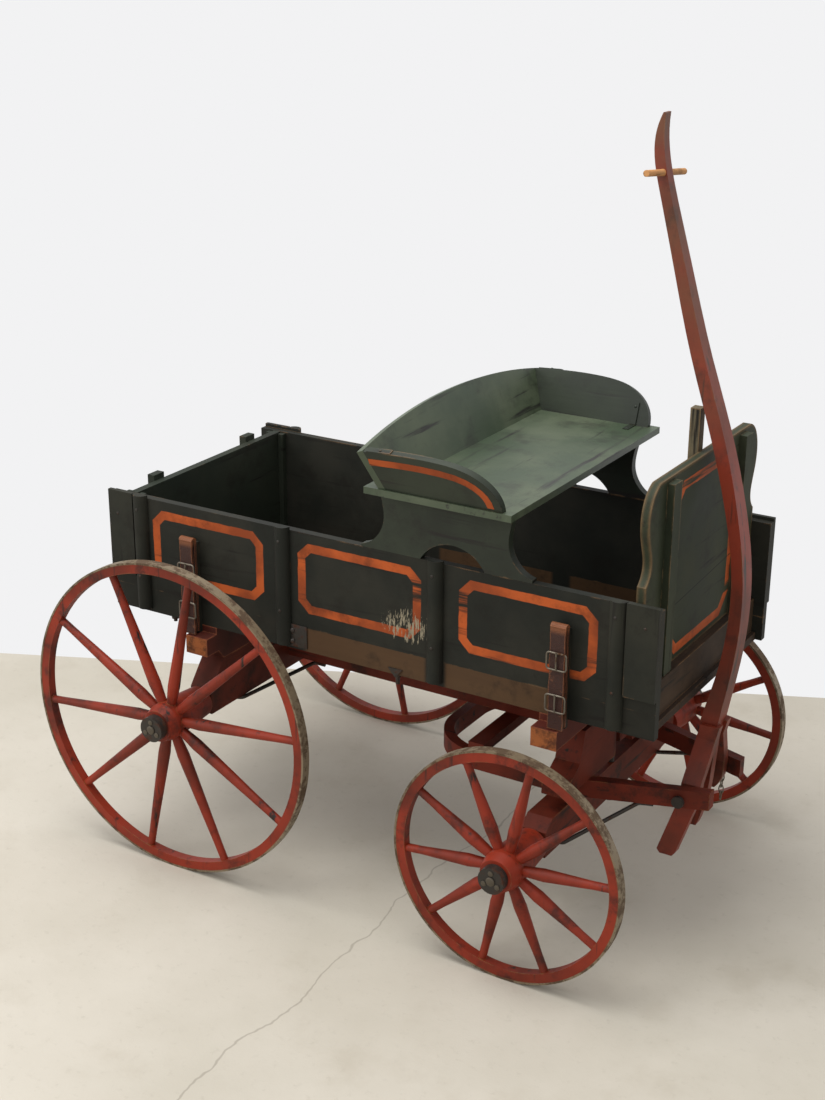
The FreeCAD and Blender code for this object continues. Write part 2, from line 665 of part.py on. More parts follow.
def leg(name, sign, foot):
    """A side leg: a flat bar from the fork out to the hounds' inner face and down to its foot."""
    outer = hound_face_at(value_of("pivot_x"), -1) - value_of("leg_clear")
    thick, deep, pivot = value_of("leg_thick"), value_of("leg_depth"), value_of("pivot_x")
    inner = value_of("pole_tail_half + running_gap")
    level, foot_z = value_of("pivot_height"), value_of(foot)
    top = value_of("fork_height - running_gap")
    slant = (foot_z - level) * value_of("leg_slant")
    # height, inner face, forward offset of the middle
    run = [(top, inner, 16), (top - 22, inner, 11), (level + 14, outer - thick, 5),
           (level - 12, outer - thick, 3), (foot_z, outer - thick + 4, 3 + slant)]
    foot_end = (foot_z - value_of("leg_rounding"), outer - thick + 4, 3 + slant)
    wires = []
    for z, y, mid in run + [foot_end]:
        x = pivot + mid
        half = deep / 2 if z >= foot_z else deep / 3
        corners = [vec(x - half, sign * y, z), vec(x + half, sign * y, z),
                   vec(x + half, sign * (y + thick), z), vec(x - half, sign * (y + thick), z)]
        wires.append(Part.makePolygon(corners + corners[:1]))
    bar = Part.makeLoft(wires, True, True)
    return free_shape(name, bar.cut(pivot_hole()))


def tongue():
    """Pole, two side legs of unequal length and the handle."""
    pole()
    leg("tongue_leg_right", -1, "leg_right_foot")
    leg("tongue_leg_left", 1, "leg_left_foot")
    seat = handle_bar("handle_radius + handle_seat_extra", "handle_seat_half")
    free_shape("handle", handle_bar("handle_radius", "handle_half").fuse(seat))


# ---------------------------------------------------------------- box
SIDE_INNER = "box_half - board_thick"
FLOOR_TOP = "floor_bottom + floor_thick"


def floor():
    """Floor boards between the side sills."""
    count = round(value_of("floor_count"))
    width = "(2 * (box_half - board_thick - floor_seam) / floor_count)"
    boards = []
    for i in range(count):
        low = f"-(box_half - board_thick - floor_seam) + {i} * {width} + floor_seam / 2"
        boards.append(box(("-box_rear + floor_rear_inset", "box_front - floor_front_inset"),
                          (low, f"{low} + {width} - floor_seam"),
                          ("floor_bottom", f"{FLOOR_TOP} + floor_rebate")))
    label(join([rebated(board) for board in boards], "Part::Compound"), "floor_boards")


def rebated(board):
    """A floor board planed down at both ends, where the tailgate and the dash's foot stand."""
    across = ("-box_half", "box_half")
    up = (FLOOR_TOP, "floor_bottom + floor_thick + floor_rebate")
    rear = box(("-box_rear", "-gate_rear + board_thick + gate_face_gap + guide_size"), across, up)
    front = box(("dash_front - board_thick - dash_post_depth - gate_face_gap", "box_front"), across, up)
    return cut(cut(board, rear), front)


def sides():
    """Sills, side boards and what is nailed on outside them."""
    def sill(sign):
        return box(("-box_rear", "box_front"), span(sign, "box_half - board_thick", "box_half"),
                   ("floor_bottom", "sill_top"))
    label(join(both_sides(sill), "Part::Compound"), "side_sills")
    for side_name, sign in (("left", 1), ("right", -1)):
        label(box(("-box_rear", "box_front"), span(sign, SIDE_INNER, "box_half"),
                  ("sill_top", "side_top")), f"side_{side_name}")
        pieces = [cleat(sign, middle) for middle in
                  ("-box_rear + post_width + piece_gap + cleat_width / 2", "second_cleat_x",
                   "third_cleat_x",
                   "box_front - post_width - piece_gap - cleat_width / 2")]
        for low in ("-box_rear", "box_front - post_width"):
            pieces.append(box((low, f"{low} + post_width"),
                              span(sign, "box_half", "box_half + post_proud"),
                              ("post_bottom", "side_top + cleat_rise")))
        label(join(pieces, "Part::Compound"), f"side_cleats_{side_name}")


def cleat(sign, middle):
    """A half-round upright on a side board's outer face, flat against it."""
    low, high = "cleat_bottom", "side_top + cleat_rise"
    whole = DOC.addObject("Part::Cylinder", "Cleat")
    bind(whole, Radius="(cleat_width ^ 2 / 4 + cleat_proud ^ 2) / (2 * cleat_proud)",
         Height=f"{high} - {low}")
    put(whole, middle,
        f"{sign} * (box_half + cleat_proud - (cleat_width ^ 2 / 4 + cleat_proud ^ 2)"
        " / (2 * cleat_proud))", low)
    keep = box((f"{middle} - cleat_width / 2", f"{middle} + cleat_width / 2"),
               span(sign, "box_half", "box_half + cleat_proud + 1"), (low, high))
    thing = DOC.addObject("Part::MultiCommon", "Common")
    thing.Shapes = [whole, keep]
    return thing


def tailgate():
    """Lift-out tailgate with its two cleats, and the strips on the sides that guide it."""
    outer = "-gate_rear"
    board = box((outer, f"{outer} + board_thick"),
                (f"-({SIDE_INNER} - gate_side_gap)", f"{SIDE_INNER} - gate_side_gap"),
                (f"{FLOOR_TOP} + piece_gap", "side_top"))

    def strip(sign):
        return box((f"{outer} - cleat_proud", outer),
                   span(sign, "gate_cleat_y - cleat_width / 2", "gate_cleat_y + cleat_width / 2"),
                   (f"{FLOOR_TOP} + gate_cleat_gap", "side_top + gate_cleat_rise"))
    label(join([board] + both_sides(strip)), "tailgate")

    def guides(sign):
        across = span(sign, f"{SIDE_INNER} - guide_size", SIDE_INNER)
        up = (FLOOR_TOP, "side_top - guide_drop")
        front = f"{outer} + board_thick + gate_face_gap"
        rear = f"{outer} - gate_face_gap"
        return [box((front, f"{front} + guide_size"), across, up),
                box((f"{rear} - guide_size", rear), across, up)]
    label(join(guides(1) + guides(-1), "Part::Compound"), "tailgate_guides")


def dash():
    """Shaped front board, the cross sill under it, its cleats and the post behind it."""
    front, thick = value_of("dash_front"), value_of("board_thick")
    foot = value_of(f"{SIDE_INNER} - piece_gap")
    low, top = value_of("dash_bottom"), value_of("dash_top")
    side_top = value_of("side_top")
    waist = (value_of("dash_waist_half"), value_of("dash_waist_height"))
    bulge = (value_of("dash_bulge_half"), value_of("dash_bulge_height"))
    flat = value_of("dash_top_half")

    def at(y, z):
        return vec(front, y, z)
    edges = []
    for sign in (1, -1):
        run = [Part.makeLine(at(sign * foot, low), at(sign * foot, side_top)),
               Part.makeLine(at(sign * foot, side_top), at(sign * foot, side_top + 22))]
        hollow = Part.BSplineCurve()
        hollow.interpolate([at(sign * foot, side_top + 22), at(sign * waist[0], waist[1]),
                            at(sign * (bulge[0] - 4), bulge[1] - 24), at(sign * bulge[0], bulge[1]),
                            at(sign * (bulge[0] - 6), bulge[1] + 27), at(sign * flat, top)])
        edges += run + [hollow.toShape()]
    edges.append(Part.makeLine(at(foot, low), at(-foot, low)))
    edges.append(Part.makeLine(at(flat, top), at(-flat, top)))
    face = Part.Face(Part.Wire(Part.__sortEdges__(edges)))
    free_shape("dash", face.extrude(vec(-thick, 0, 0)))
    label(box(("dash_front - board_thick", "dash_front - board_thick + front_sill_depth"),
              (f"-({SIDE_INNER} - piece_gap)", f"{SIDE_INNER} - piece_gap"),
              (FLOOR_TOP, "dash_bottom")), "front_sill")

    def strip(sign):
        return box(("dash_front", "dash_front + dash_cleat_proud"),
                   span(sign, "dash_cleat_y - cleat_width / 2", "dash_cleat_y + cleat_width / 2"),
                   ("dash_bottom", "dash_top - dash_cleat_drop"))
    label(join(both_sides(strip), "Part::Compound"), "dash_cleats")
    rear = "dash_front - board_thick"
    label(box((f"{rear} - dash_post_depth", rear), ("-dash_post_half", "dash_post_half"),
              (FLOOR_TOP, "dash_post_top")), "dash_post")


# ---------------------------------------------------------------- seat
def riser_face(y):
    """A riser's outline: hollow front and rear edges and a foot that spreads."""
    rear, front = value_of("riser_top_rear"), value_of("riser_top_front")
    low, high = value_of("side_top"), value_of("seat_top - seat_thick")
    spread, hollow = value_of("riser_flare"), value_of("riser_waist")

    def edge(x, way):
        curve = Part.BSplineCurve()
        curve.interpolate([vec(x, y, high), vec(x - way * hollow * 0.8, y, high - 24),
                           vec(x - way * hollow, y, high - 52), vec(x + way * 4, y, high - 75),
                           vec(x + way * spread, y, low + 4)])
        return curve.toShape()
    front_edge, rear_edge = edge(front, 1), edge(rear, -1)
    pieces = [front_edge, rear_edge, Part.makeLine(vec(front, y, high), vec(rear, y, high))]
    for x in (front + spread, rear - spread):
        pieces.append(Part.makeLine(vec(x, y, low + 4), vec(x, y, low)))
    pieces.append(Part.makeLine(vec(front + spread, y, low), vec(rear - spread, y, low)))
    return Part.Face(Part.Wire(Part.__sortEdges__(pieces)))


def riser_arch():
    """The low arch under a riser, as a long cylinder across the wagon."""
    half, high = value_of("riser_arch_half"), value_of("riser_arch_height")
    radius = (half ** 2 + high ** 2) / (2 * high)
    low = vec(value_of("riser_arch_x"), -THROUGH, value_of("side_top") + high - radius)
    return Part.makeCylinder(radius, 2 * THROUGH, low, vec(0, 1, 0))


def seat():
    """Seat board on two risers, with flared side panels and an arched, leaning back."""
    label(box(("seat_rear", "seat_front"), ("-seat_half", "seat_half"),
              ("seat_top - seat_thick", "seat_top")), "seat_board")
    thick = value_of("board_thick")
    inner = value_of(SIDE_INNER)
    risers = [riser_face(y).extrude(vec(0, thick, 0)).cut(riser_arch())
              for y in (inner, -inner - thick)]
    free_shape("seat_risers", Part.makeCompound(risers))
    lean = math.radians(value_of("back_lean"))
    foot, top = value_of("back_foot"), value_of("seat_top")
    # the back, drawn upright and then leaned about its front bottom edge
    base, flare = value_of("arm_base_half"), math.radians(value_of("arm_flare"))
    end_h, arch_h = value_of("back_end_height"), value_of("back_arch_height")
    arm_t = value_of("arm_thick")
    end_y = base + (end_h * math.cos(lean)) * math.tan(flare) + arm_t / math.cos(flare)
    foot_y = base + arm_t / math.cos(flare)
    corners = [vec(0, -foot_y, 0), vec(0, foot_y, 0), vec(0, end_y, end_h)]
    crown = Part.Arc(vec(0, end_y, end_h), vec(0, 0, arch_h), vec(0, -end_y, end_h)).toShape()
    wire = Part.Wire([Part.makeLine(corners[0], corners[1]), Part.makeLine(corners[1], corners[2]),
                      crown, Part.makeLine(vec(0, -end_y, end_h), corners[0])])
    back = Part.Face(wire).extrude(vec(-value_of("back_thick"), 0, 0))
    back.rotate(vec(0, 0, 0), vec(0, 1, 0), -math.degrees(lean))
    # its bottom is cut level with the seat board
    back.translate(vec(foot, 0, top))
    free_shape("seat_back", back.cut(below_seat()))
    free_shape("seat_arms", Part.makeCompound(both_sides(arm)))


def arm(sign):
    """A flared side panel, its rear end cut off along the leaning back's front face."""
    lean, flare = math.radians(value_of("back_lean")), math.radians(value_of("arm_flare"))
    foot, top = value_of("back_foot"), value_of("seat_top")
    front, high = value_of("arm_front"), value_of("arm_height")

    # drawn flat: x along the wagon, h up the panel
    def at(x, h):
        return vec(x, 0, h)
    rear = foot - high
    curve = Part.BSplineCurve()
    curve.interpolate([at(rear, high - 4), at(foot + 30, high + 2), at(foot + 90, high + 2),
                       at(front - 42, high - 7), at(front - 12, high - 28), at(front, 4)])
    wire = Part.Wire([curve.toShape(), Part.makeLine(at(front, 4), at(front, 0)),
                      Part.makeLine(at(front, 0), at(rear, 0)),
                      Part.makeLine(at(rear, 0), at(rear, high - 4))])
    panel = Part.Face(wire).extrude(vec(0, sign * value_of("arm_thick"), 0))
    panel.rotate(vec(0, 0, 0), vec(1, 0, 0), -sign * math.degrees(flare))
    panel.translate(vec(0, sign * value_of("arm_base_half"), top))
    behind = Part.makeBox(THROUGH, 2 * THROUGH, 2 * THROUGH, vec(-THROUGH, -THROUGH, -THROUGH))
    behind.rotate(vec(0, 0, 0), vec(0, 1, 0), -math.degrees(lean))
    behind.translate(vec(foot, 0, top))
    return panel.cut(below_seat()).cut(behind)


def below_seat():
    """Everything under the seat board's top."""
    return Part.makeBox(4 * THROUGH, 2 * THROUGH, THROUGH,
                        vec(-THROUGH, -THROUGH, value_of("seat_top") - THROUGH))


# ---------------------------------------------------------------- stakes and straps
def stakes():
    """Four stakes on the bolsters' ends, each with a folded leather strap outside it."""
    pieces = []
    for x in ("front_strap_x", "rear_strap_x"):
        for sign in (1, -1):
            pieces.append(box((f"{x} - stake_width / 2", f"{x} + stake_width / 2"),
                              span(sign, "box_half + piece_gap", "box_half + piece_gap + stake_thick"),
                              ("floor_bottom - bolster_end_drop", "stake_top")))
    label(join(pieces, "Part::Compound"), "stakes")
    for end in ("front", "rear"):
        x = f"{end}_strap_x"

        def strap(sign):
            inner = "box_half + 2 * piece_gap + stake_thick"
            return box((f"{x} - strap_width / 2", f"{x} + strap_width / 2"),
                       span(sign, inner, f"{inner} + strap_thick"),
                       ("floor_bottom - bolster_end_drop + piece_gap", "strap_top"))
        label(join(both_sides(strap), "Part::Compound"), f"{end}_straps")


def check_and_write():
    """Refuse a failed object or a bad shape, then write every sub-part to its file."""
    DOC.recompute()
    for thing in DOC.Objects:
        if "Invalid" in thing.State or "Error" in thing.State:
            raise RuntimeError(f"{thing.Name} ({thing.Label}): {thing.State}")
    for part in PARTS:
        if part.Shape.isNull() or not part.Shape.isValid() or not part.Shape.Solids:
            raise RuntimeError(f"{part.Label}: bad shape")
    os.makedirs("parts", exist_ok=True)
    for part in PARTS:
        part.Shape.exportStep(f"parts/{part.Label}.step")
    volume = sum(part.Shape.Volume for part in PARTS)
    print(f"{len(PARTS)} sub-parts, {volume / 1e9:.5f} cubic metres")


fill_sheet()
floor()
sides()
tailgate()
dash()
seat()
stakes()
rear_gear()
king()
front_gear()
tongue()
wheels()
check_and_write()
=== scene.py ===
"""Looks of a small wooden goat wagon: old paint, worn wood, rusty iron and cracked leather.

Metres, +X forwards, +Y to the wagon's left, +Z up.  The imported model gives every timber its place;
this script dresses them and adds the straps, irons, bolts, chain and painted lines.
"""
import logging
import math
from collections.abc import Iterable, Sequence
from dataclasses import dataclass
from enum import Enum

import bmesh
import bpy
from mathutils import Matrix, Vector


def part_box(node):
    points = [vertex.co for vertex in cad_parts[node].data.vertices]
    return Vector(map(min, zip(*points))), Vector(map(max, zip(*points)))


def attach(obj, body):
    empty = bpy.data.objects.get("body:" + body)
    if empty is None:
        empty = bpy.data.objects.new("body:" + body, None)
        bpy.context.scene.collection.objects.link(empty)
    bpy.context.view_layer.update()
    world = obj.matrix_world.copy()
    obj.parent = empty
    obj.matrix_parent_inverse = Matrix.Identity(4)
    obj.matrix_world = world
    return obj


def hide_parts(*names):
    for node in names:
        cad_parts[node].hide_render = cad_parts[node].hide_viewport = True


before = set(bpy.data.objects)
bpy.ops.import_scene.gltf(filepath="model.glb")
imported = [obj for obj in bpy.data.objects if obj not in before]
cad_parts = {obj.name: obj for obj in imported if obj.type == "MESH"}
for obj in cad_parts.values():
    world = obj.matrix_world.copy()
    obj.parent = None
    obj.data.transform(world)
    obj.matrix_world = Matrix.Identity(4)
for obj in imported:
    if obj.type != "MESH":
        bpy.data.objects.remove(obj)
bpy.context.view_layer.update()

LOG = logging.getLogger("goat_wagon")

Colour = tuple[float, float, float, float]
Point = tuple[float, float, float]

# the source of the timbers counts X from the rear axle line
AXLE_LINE = (sum(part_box("rear_axle")[i][0] for i in (0, 1))) / 2


def tint(red: int, green: int, blue: int) -> Colour:
    """Turn an 0-255 screen colour into the linear colour that the shaders use."""
    def open_up(part: int) -> float:
        value = part / 255
        return value / 12.92 if value <= 0.04045 else ((value + 0.055) / 1.055) ** 2.4
    return (open_up(red), open_up(green), open_up(blue), 1.0)


class Grain(Enum):
    """The axis that a timber's grain follows; the value is the stretch of the pattern."""

    ALONG = (0.06, 1.0, 1.0)
    ACROSS = (1.0, 0.06, 1.0)
    UPRIGHT = (1.0, 1.0, 0.06)


# ------------------------------------------------------------------ shader graph
class Graph:
    """A short way to write a material's node tree."""

    def __init__(self, name: str) -> None:
        """Make an empty material with its output."""
        self.material = bpy.data.materials.new(name)
        self.material.use_nodes = True
        self.tree = self.material.node_tree
        self.tree.nodes.clear()
        self.output = self.tree.nodes.new("ShaderNodeOutputMaterial")
        self.coordinates = self.tree.nodes.new("ShaderNodeTexCoord").outputs["Object"]
        self.geometry = self.tree.nodes.new("ShaderNodeNewGeometry")

    def feed(self, socket: bpy.types.NodeSocket, value: object) -> None:
        """Link a socket to another, or set its number, vector or colour."""
        if isinstance(value, bpy.types.NodeSocket):
            self.tree.links.new(value, socket)
        else:
            socket.default_value = value

    def math(self, operation: str, first: object, second: object = 0.0,
             clamp: bool = False) -> bpy.types.NodeSocket:
        """A Math node.

        Args:
            operation: Blender's name of the operation.
            first: socket or number.
            second: socket or number.
            clamp: keep the result between 0 and 1.

        Returns:
            The node's value.
        """
        node = self.tree.nodes.new("ShaderNodeMath")
        node.operation = operation
        node.use_clamp = clamp
        self.feed(node.inputs[0], first)
        self.feed(node.inputs[1], second)
        return node.outputs[0]

    def split(self, vector: object) -> tuple[bpy.types.NodeSocket, ...]:
        """The X, Y and Z of a vector."""
        node = self.tree.nodes.new("ShaderNodeSeparateXYZ")
        self.feed(node.inputs[0], vector)
        return tuple(node.outputs)

    def stretch(self, scale: Sequence[float],
                place: Sequence[float] = (0, 0, 0)) -> bpy.types.NodeSocket:
        """Object coordinates, scaled on each axis after a move."""
        node = self.tree.nodes.new("ShaderNodeMapping")
        node.vector_type = "POINT"
        self.feed(node.inputs["Vector"], self.coordinates)
        node.inputs["Location"].default_value = place
        node.inputs["Scale"].default_value = scale
        return node.outputs[0]

    def noise(self, scale: float, vector: object = None, detail: float = 4.0,
              rough: float = 0.55) -> bpy.types.NodeSocket:
        """Noise on Object coordinates or on a given vector."""
        node = self.tree.nodes.new("ShaderNodeTexNoise")
        self.feed(node.inputs["Vector"], vector if vector is not None else self.coordinates)
        node.inputs["Scale"].default_value = scale
        node.inputs["Detail"].default_value = detail
        node.inputs["Roughness"].default_value = rough
        return node.outputs["Fac"]

    def ramp(self, value: object, low: float, high: float) -> bpy.types.NodeSocket:
        """0 below low, 1 above high and smooth between them."""
        node = self.tree.nodes.new("ShaderNodeMapRange")
        node.interpolation_type = "SMOOTHSTEP"
        self.feed(node.inputs["Value"], value)
        node.inputs["From Min"].default_value = low
        node.inputs["From Max"].default_value = high
        return node.outputs["Result"]

    def mix(self, share: object, first: object, second: object) -> bpy.types.NodeSocket:
        """First colour, going over to the second as the share goes from 0 to 1."""
        node = self.tree.nodes.new("ShaderNodeMix")
        node.data_type = "RGBA"
        self.feed(node.inputs[0], share)
        self.feed(node.inputs[6], first)
        self.feed(node.inputs[7], second)
        return node.outputs[2]

    def edges(self, width: float) -> bpy.types.NodeSocket:
        """How near a point is to a sharp edge, from 0 to about 0.3."""
        node = self.tree.nodes.new("ShaderNodeBevel")
        node.samples = 6
        node.inputs["Radius"].default_value = width
        dot = self.tree.nodes.new("ShaderNodeVectorMath")
        dot.operation = "DOT_PRODUCT"
        self.feed(dot.inputs[0], node.outputs[0])
        self.feed(dot.inputs[1], self.geometry.outputs["Normal"])
        return self.math("SUBTRACT", 1.0, dot.outputs["Value"])

    def finish(self, colour: object, roughness: object, height: object, depth: float,
               metallic: float = 0.0, sheen: float = 0.5) -> bpy.types.Material:
        """Join everything to a principled shader.

        Args:
            colour: base colour.
            roughness: number or socket.
            height: socket of the relief, 0 to 1.
            depth: the relief's size in metres.
            metallic: 0 or 1.
            sheen: specular level.

        Returns:
            The material.
        """
        shader = self.tree.nodes.new("ShaderNodeBsdfPrincipled")
        self.feed(shader.inputs["Base Color"], colour)
        self.feed(shader.inputs["Roughness"], roughness)
        shader.inputs["Metallic"].default_value = metallic
        shader.inputs["Specular IOR Level"].default_value = sheen
        bump = self.tree.nodes.new("ShaderNodeBump")
        bump.inputs["Strength"].default_value = 0.7
        bump.inputs["Distance"].default_value = depth
        self.feed(bump.inputs["Height"], height)
        self.feed(shader.inputs["Normal"], bump.outputs[0])
        self.feed(self.output.inputs["Surface"], shader.outputs[0])
        return self.material


# ------------------------------------------------------------------ finishes
@dataclass(frozen=True)
class OldPaint:
    """Old paint on wood: grain that shows through, dirt, scratches and edges worn to the wood."""

    name: str
    paint: Colour
    faded: Colour
    bare: Colour
    grain: Grain
    wear: float = 0.4
    gloss: float = 0.5
    edge: float = 0.004
    grime: float = 0.45
    sheen: float = 0.2

    def decorate(self, graph: Graph, colour: object) -> object:
        """Paint more over the ground colour; plain paint adds nothing."""
        return colour

    def relief(self, graph: Graph) -> tuple[bpy.types.NodeSocket, bpy.types.NodeSocket]:
        """The grain's pattern and the mask of where the paint is worn off."""
        fibres = graph.noise(70, graph.stretch(self.grain.value), 5, 0.6)
        scratches = graph.noise(110, graph.stretch(self.grain.value, (0.3, 0.1, 0.7)), 3, 0.7)
        patches = graph.noise(16, None, 5, 0.65)
        near_edge = graph.ramp(graph.edges(self.edge), 0.015, 0.11)
        chance = graph.math("ADD", graph.math("MULTIPLY", near_edge, 0.34 * self.wear + 0.12),
                            graph.math("MULTIPLY", patches, 0.6))
        chance = graph.math("ADD", chance, graph.math("MULTIPLY", scratches, 0.35))
        worn = graph.ramp(chance, 0.80 - 0.13 * self.wear, 0.86 - 0.10 * self.wear)
        return fibres, worn

    def material(self) -> bpy.types.Material:
        """Build the finish."""
        graph = Graph(self.name)
        fibres, worn = self.relief(graph)
        clouds = graph.noise(7, None, 4, 0.6)
        ground = graph.mix(graph.ramp(clouds, 0.35, 0.7), self.paint, self.faded)
        ground = graph.mix(graph.ramp(fibres, 0.42, 0.30), ground, tint(28, 26, 22))
        ground = self.decorate(graph, ground)
        soot = graph.ramp(graph.noise(19, None, 6, 0.7), 0.50, 0.68)
        ground = graph.mix(graph.math("MULTIPLY", soot, self.grime), ground, tint(26, 22, 17))
        wood = graph.mix(fibres, self.bare, tint(70, 52, 36))
        colour = graph.mix(graph.math("MULTIPLY", worn, 0.85), ground, wood)
        roughness = graph.math("ADD", self.gloss, graph.math("MULTIPLY", clouds, 0.3))
        height = graph.math("SUBTRACT", graph.math("MULTIPLY", fibres, 0.6),
                            graph.math("MULTIPLY", worn, 0.5))
        return graph.finish(colour, roughness, height, 0.0008, sheen=self.sheen)


@dataclass(frozen=True)
class Band:
    """One painted eight-sided frame: middle, half sizes, chamfer and width of its line."""

    middle: tuple[float, float]
    half: tuple[float, float]
    chamfer: float = 0.018
    width: float = 0.0135

    def mask(self, graph: Graph, across: object, up: object) -> bpy.types.NodeSocket:
        """1 on the painted line, 0 off it, with a hand-drawn edge."""
        reach = [graph.math("ABSOLUTE", graph.math("SUBTRACT", axis, middle))
                 for axis, middle in ((across, self.middle[0]), (up, self.middle[1]))]
        past = [graph.math("SUBTRACT", reach[i], self.half[i]) for i in (0, 1)]
        corner = graph.math("SUBTRACT", graph.math("ADD", reach[0], reach[1]),
                            self.half[0] + self.half[1] - self.chamfer)
        outside = graph.math("MAXIMUM", graph.math("MAXIMUM", past[0], past[1]),
                             graph.math("MULTIPLY", corner, math.sqrt(0.5)))
        wobble = graph.math("MULTIPLY", graph.math("SUBTRACT", graph.noise(60, None, 2), 0.5), 0.002)
        outside = graph.math("ADD", outside, wobble)
        inside = graph.ramp(outside, 0.0005, -0.0005)
        hollow = graph.ramp(outside, -self.width - 0.0005, -self.width + 0.0005)
        return graph.math("MULTIPLY", inside, hollow)


ORANGE = tint(186, 88, 40)
DARK_ORANGE = tint(138, 64, 32)


@dataclass(frozen=True)
class FramedPaint(OldPaint):
    """Old paint with painted orange frames on one face of the board."""

    bands: tuple[Band, ...] = ()
    face_axis: int = 1
    face_at: float = 0.2
    scuff: tuple[float, float] | None = None
    scuff_size: tuple[float, float] = (0.056, 0.034)
    joint: tuple[tuple[float, float], ...] = ()

    def decorate(self, graph: Graph, colour: object) -> object:
        """Add the frames, and a pale scuffed patch if there is one."""
        places = graph.split(graph.coordinates)
        depth = graph.math("ABSOLUTE", places[1]) if self.face_axis == 1 else places[0]
        across = places[0] if self.face_axis == 1 else places[1]
        on_face = graph.ramp(depth, self.face_at - 0.001, self.face_at + 0.001)
        fade = graph.ramp(graph.noise(45, graph.stretch(self.grain.value), 4, 0.7), 0.34, 0.47)
        for band in self.bands:
            share = graph.math("MULTIPLY", band.mask(graph, across, places[2]), on_face)
            paint = graph.mix(graph.ramp(graph.noise(14), 0.35, 0.65), ORANGE, DARK_ORANGE)
            colour = graph.mix(graph.math("MULTIPLY", share, fade), colour, paint)
        if self.scuff:
            reach = [graph.math("DIVIDE", graph.math("SUBTRACT", axis, middle), size)
                     for axis, middle, size in zip((across, places[2]), self.scuff,
                                                   self.scuff_size)]
            square = graph.math("ADD", graph.math("MULTIPLY", reach[0], reach[0]),
                                graph.math("MULTIPLY", reach[1], reach[1]))
            near = graph.ramp(square, 1.3, 0.2)
            strokes = graph.noise(420, graph.stretch((0.9, 1.0, 0.16)), 3, 0.7)
            scraped = graph.math("ADD", graph.math("MULTIPLY", near, 0.30), strokes)
            share = graph.ramp(scraped, 0.79, 0.86)
            right_side = graph.ramp(places[1], 0.01, -0.01)
            share = graph.math("MULTIPLY", graph.math("MULTIPLY", share, on_face), right_side)
            colour = graph.mix(share, colour, tint(150, 140, 118))
        if self.joint:
            (start, low), (end, high) = self.joint
            slope = (high - low) / (end - start)
            line = graph.math("ADD", graph.math("MULTIPLY", across, slope), low - start * slope)
            off = graph.math("ABSOLUTE", graph.math("SUBTRACT", places[2], line))
            colour = graph.mix(graph.ramp(off, 0.0012, 0.0004), colour, tint(16, 15, 12))
        return colour


@dataclass(frozen=True)
class PatchedPaint(OldPaint):
    """Old paint with bare stretches along a sill, between given places."""

    stretches: tuple[tuple[float, float], ...] = ()
    patch: Colour = tint(92, 68, 44)

    def decorate(self, graph: Graph, colour: object) -> object:
        """Show the wood in the bare stretches."""
        along = graph.split(graph.coordinates)[0]
        wood = graph.mix(graph.noise(30, graph.stretch(self.grain.value), 5, 0.6), self.patch,
                         tint(64, 46, 32))
        for start, end in self.stretches:
            share = graph.math("MULTIPLY", graph.ramp(along, start - 0.004, start + 0.004),
                               graph.ramp(along, end + 0.004, end - 0.004))
            colour = graph.mix(share, colour, wood)
        return colour


@dataclass(frozen=True)
class EndedPaint(OldPaint):
    """Old paint on a cross timber whose sawn ends are rubbed to the wood."""

    end_at: float = 0.232
    end: Colour = tint(158, 92, 50)

    def decorate(self, graph: Graph, colour: object) -> object:
        """Colour both sawn ends."""
        reach = graph.math("ABSOLUTE", graph.split(graph.coordinates)[1])
        share = graph.ramp(reach, self.end_at - 0.0012, self.end_at - 0.0004)
        stains = graph.ramp(graph.noise(50, None, 5, 0.7), 0.42, 0.62)
        return graph.mix(share, colour, graph.mix(stains, self.end, tint(92, 54, 34)))


@dataclass(frozen=True)
class HandledPaint(OldPaint):
    """Old paint that years of hands have turned brown towards the top."""

    start: float = 0.55
    full: float = 1.12
    brown: Colour = tint(104, 66, 42)

    def decorate(self, graph: Graph, colour: object) -> object:
        """Go over to brown with height, in patches."""
        height = graph.split(graph.coordinates)[2]
        share = graph.math("MULTIPLY", graph.ramp(height, self.start, self.full),
                           graph.ramp(graph.noise(9, None, 4, 0.6), 0.30, 0.60))
        return graph.mix(graph.math("MULTIPLY", share, 0.85), colour, self.brown)


@dataclass(frozen=True)
class Iron:
    """Rough iron with rust, or a worn steel hoop."""

    name: str
    metal: Colour
    rust: Colour
    share: float = 0.5
    metallic: float = 0.6

    def material(self) -> bpy.types.Material:
        """Build the finish."""
        graph = Graph(self.name)
        spots = graph.noise(38, None, 6, 0.7)
        fine = graph.noise(190, None, 4, 0.65)
        rusty = graph.ramp(graph.math("ADD", spots, graph.math("MULTIPLY", fine, 0.25)),
                           0.78 - 0.3 * self.share, 0.92 - 0.3 * self.share)
        colour = graph.mix(rusty, self.metal, self.rust)
        colour = graph.mix(graph.math("MULTIPLY", fine, 0.3), colour, tint(30, 26, 22))
        roughness = graph.math("ADD", 0.42, graph.math("MULTIPLY", rusty, 0.4))
        return graph.finish(colour, roughness, graph.math("ADD", spots, fine), 0.0006, self.metallic)


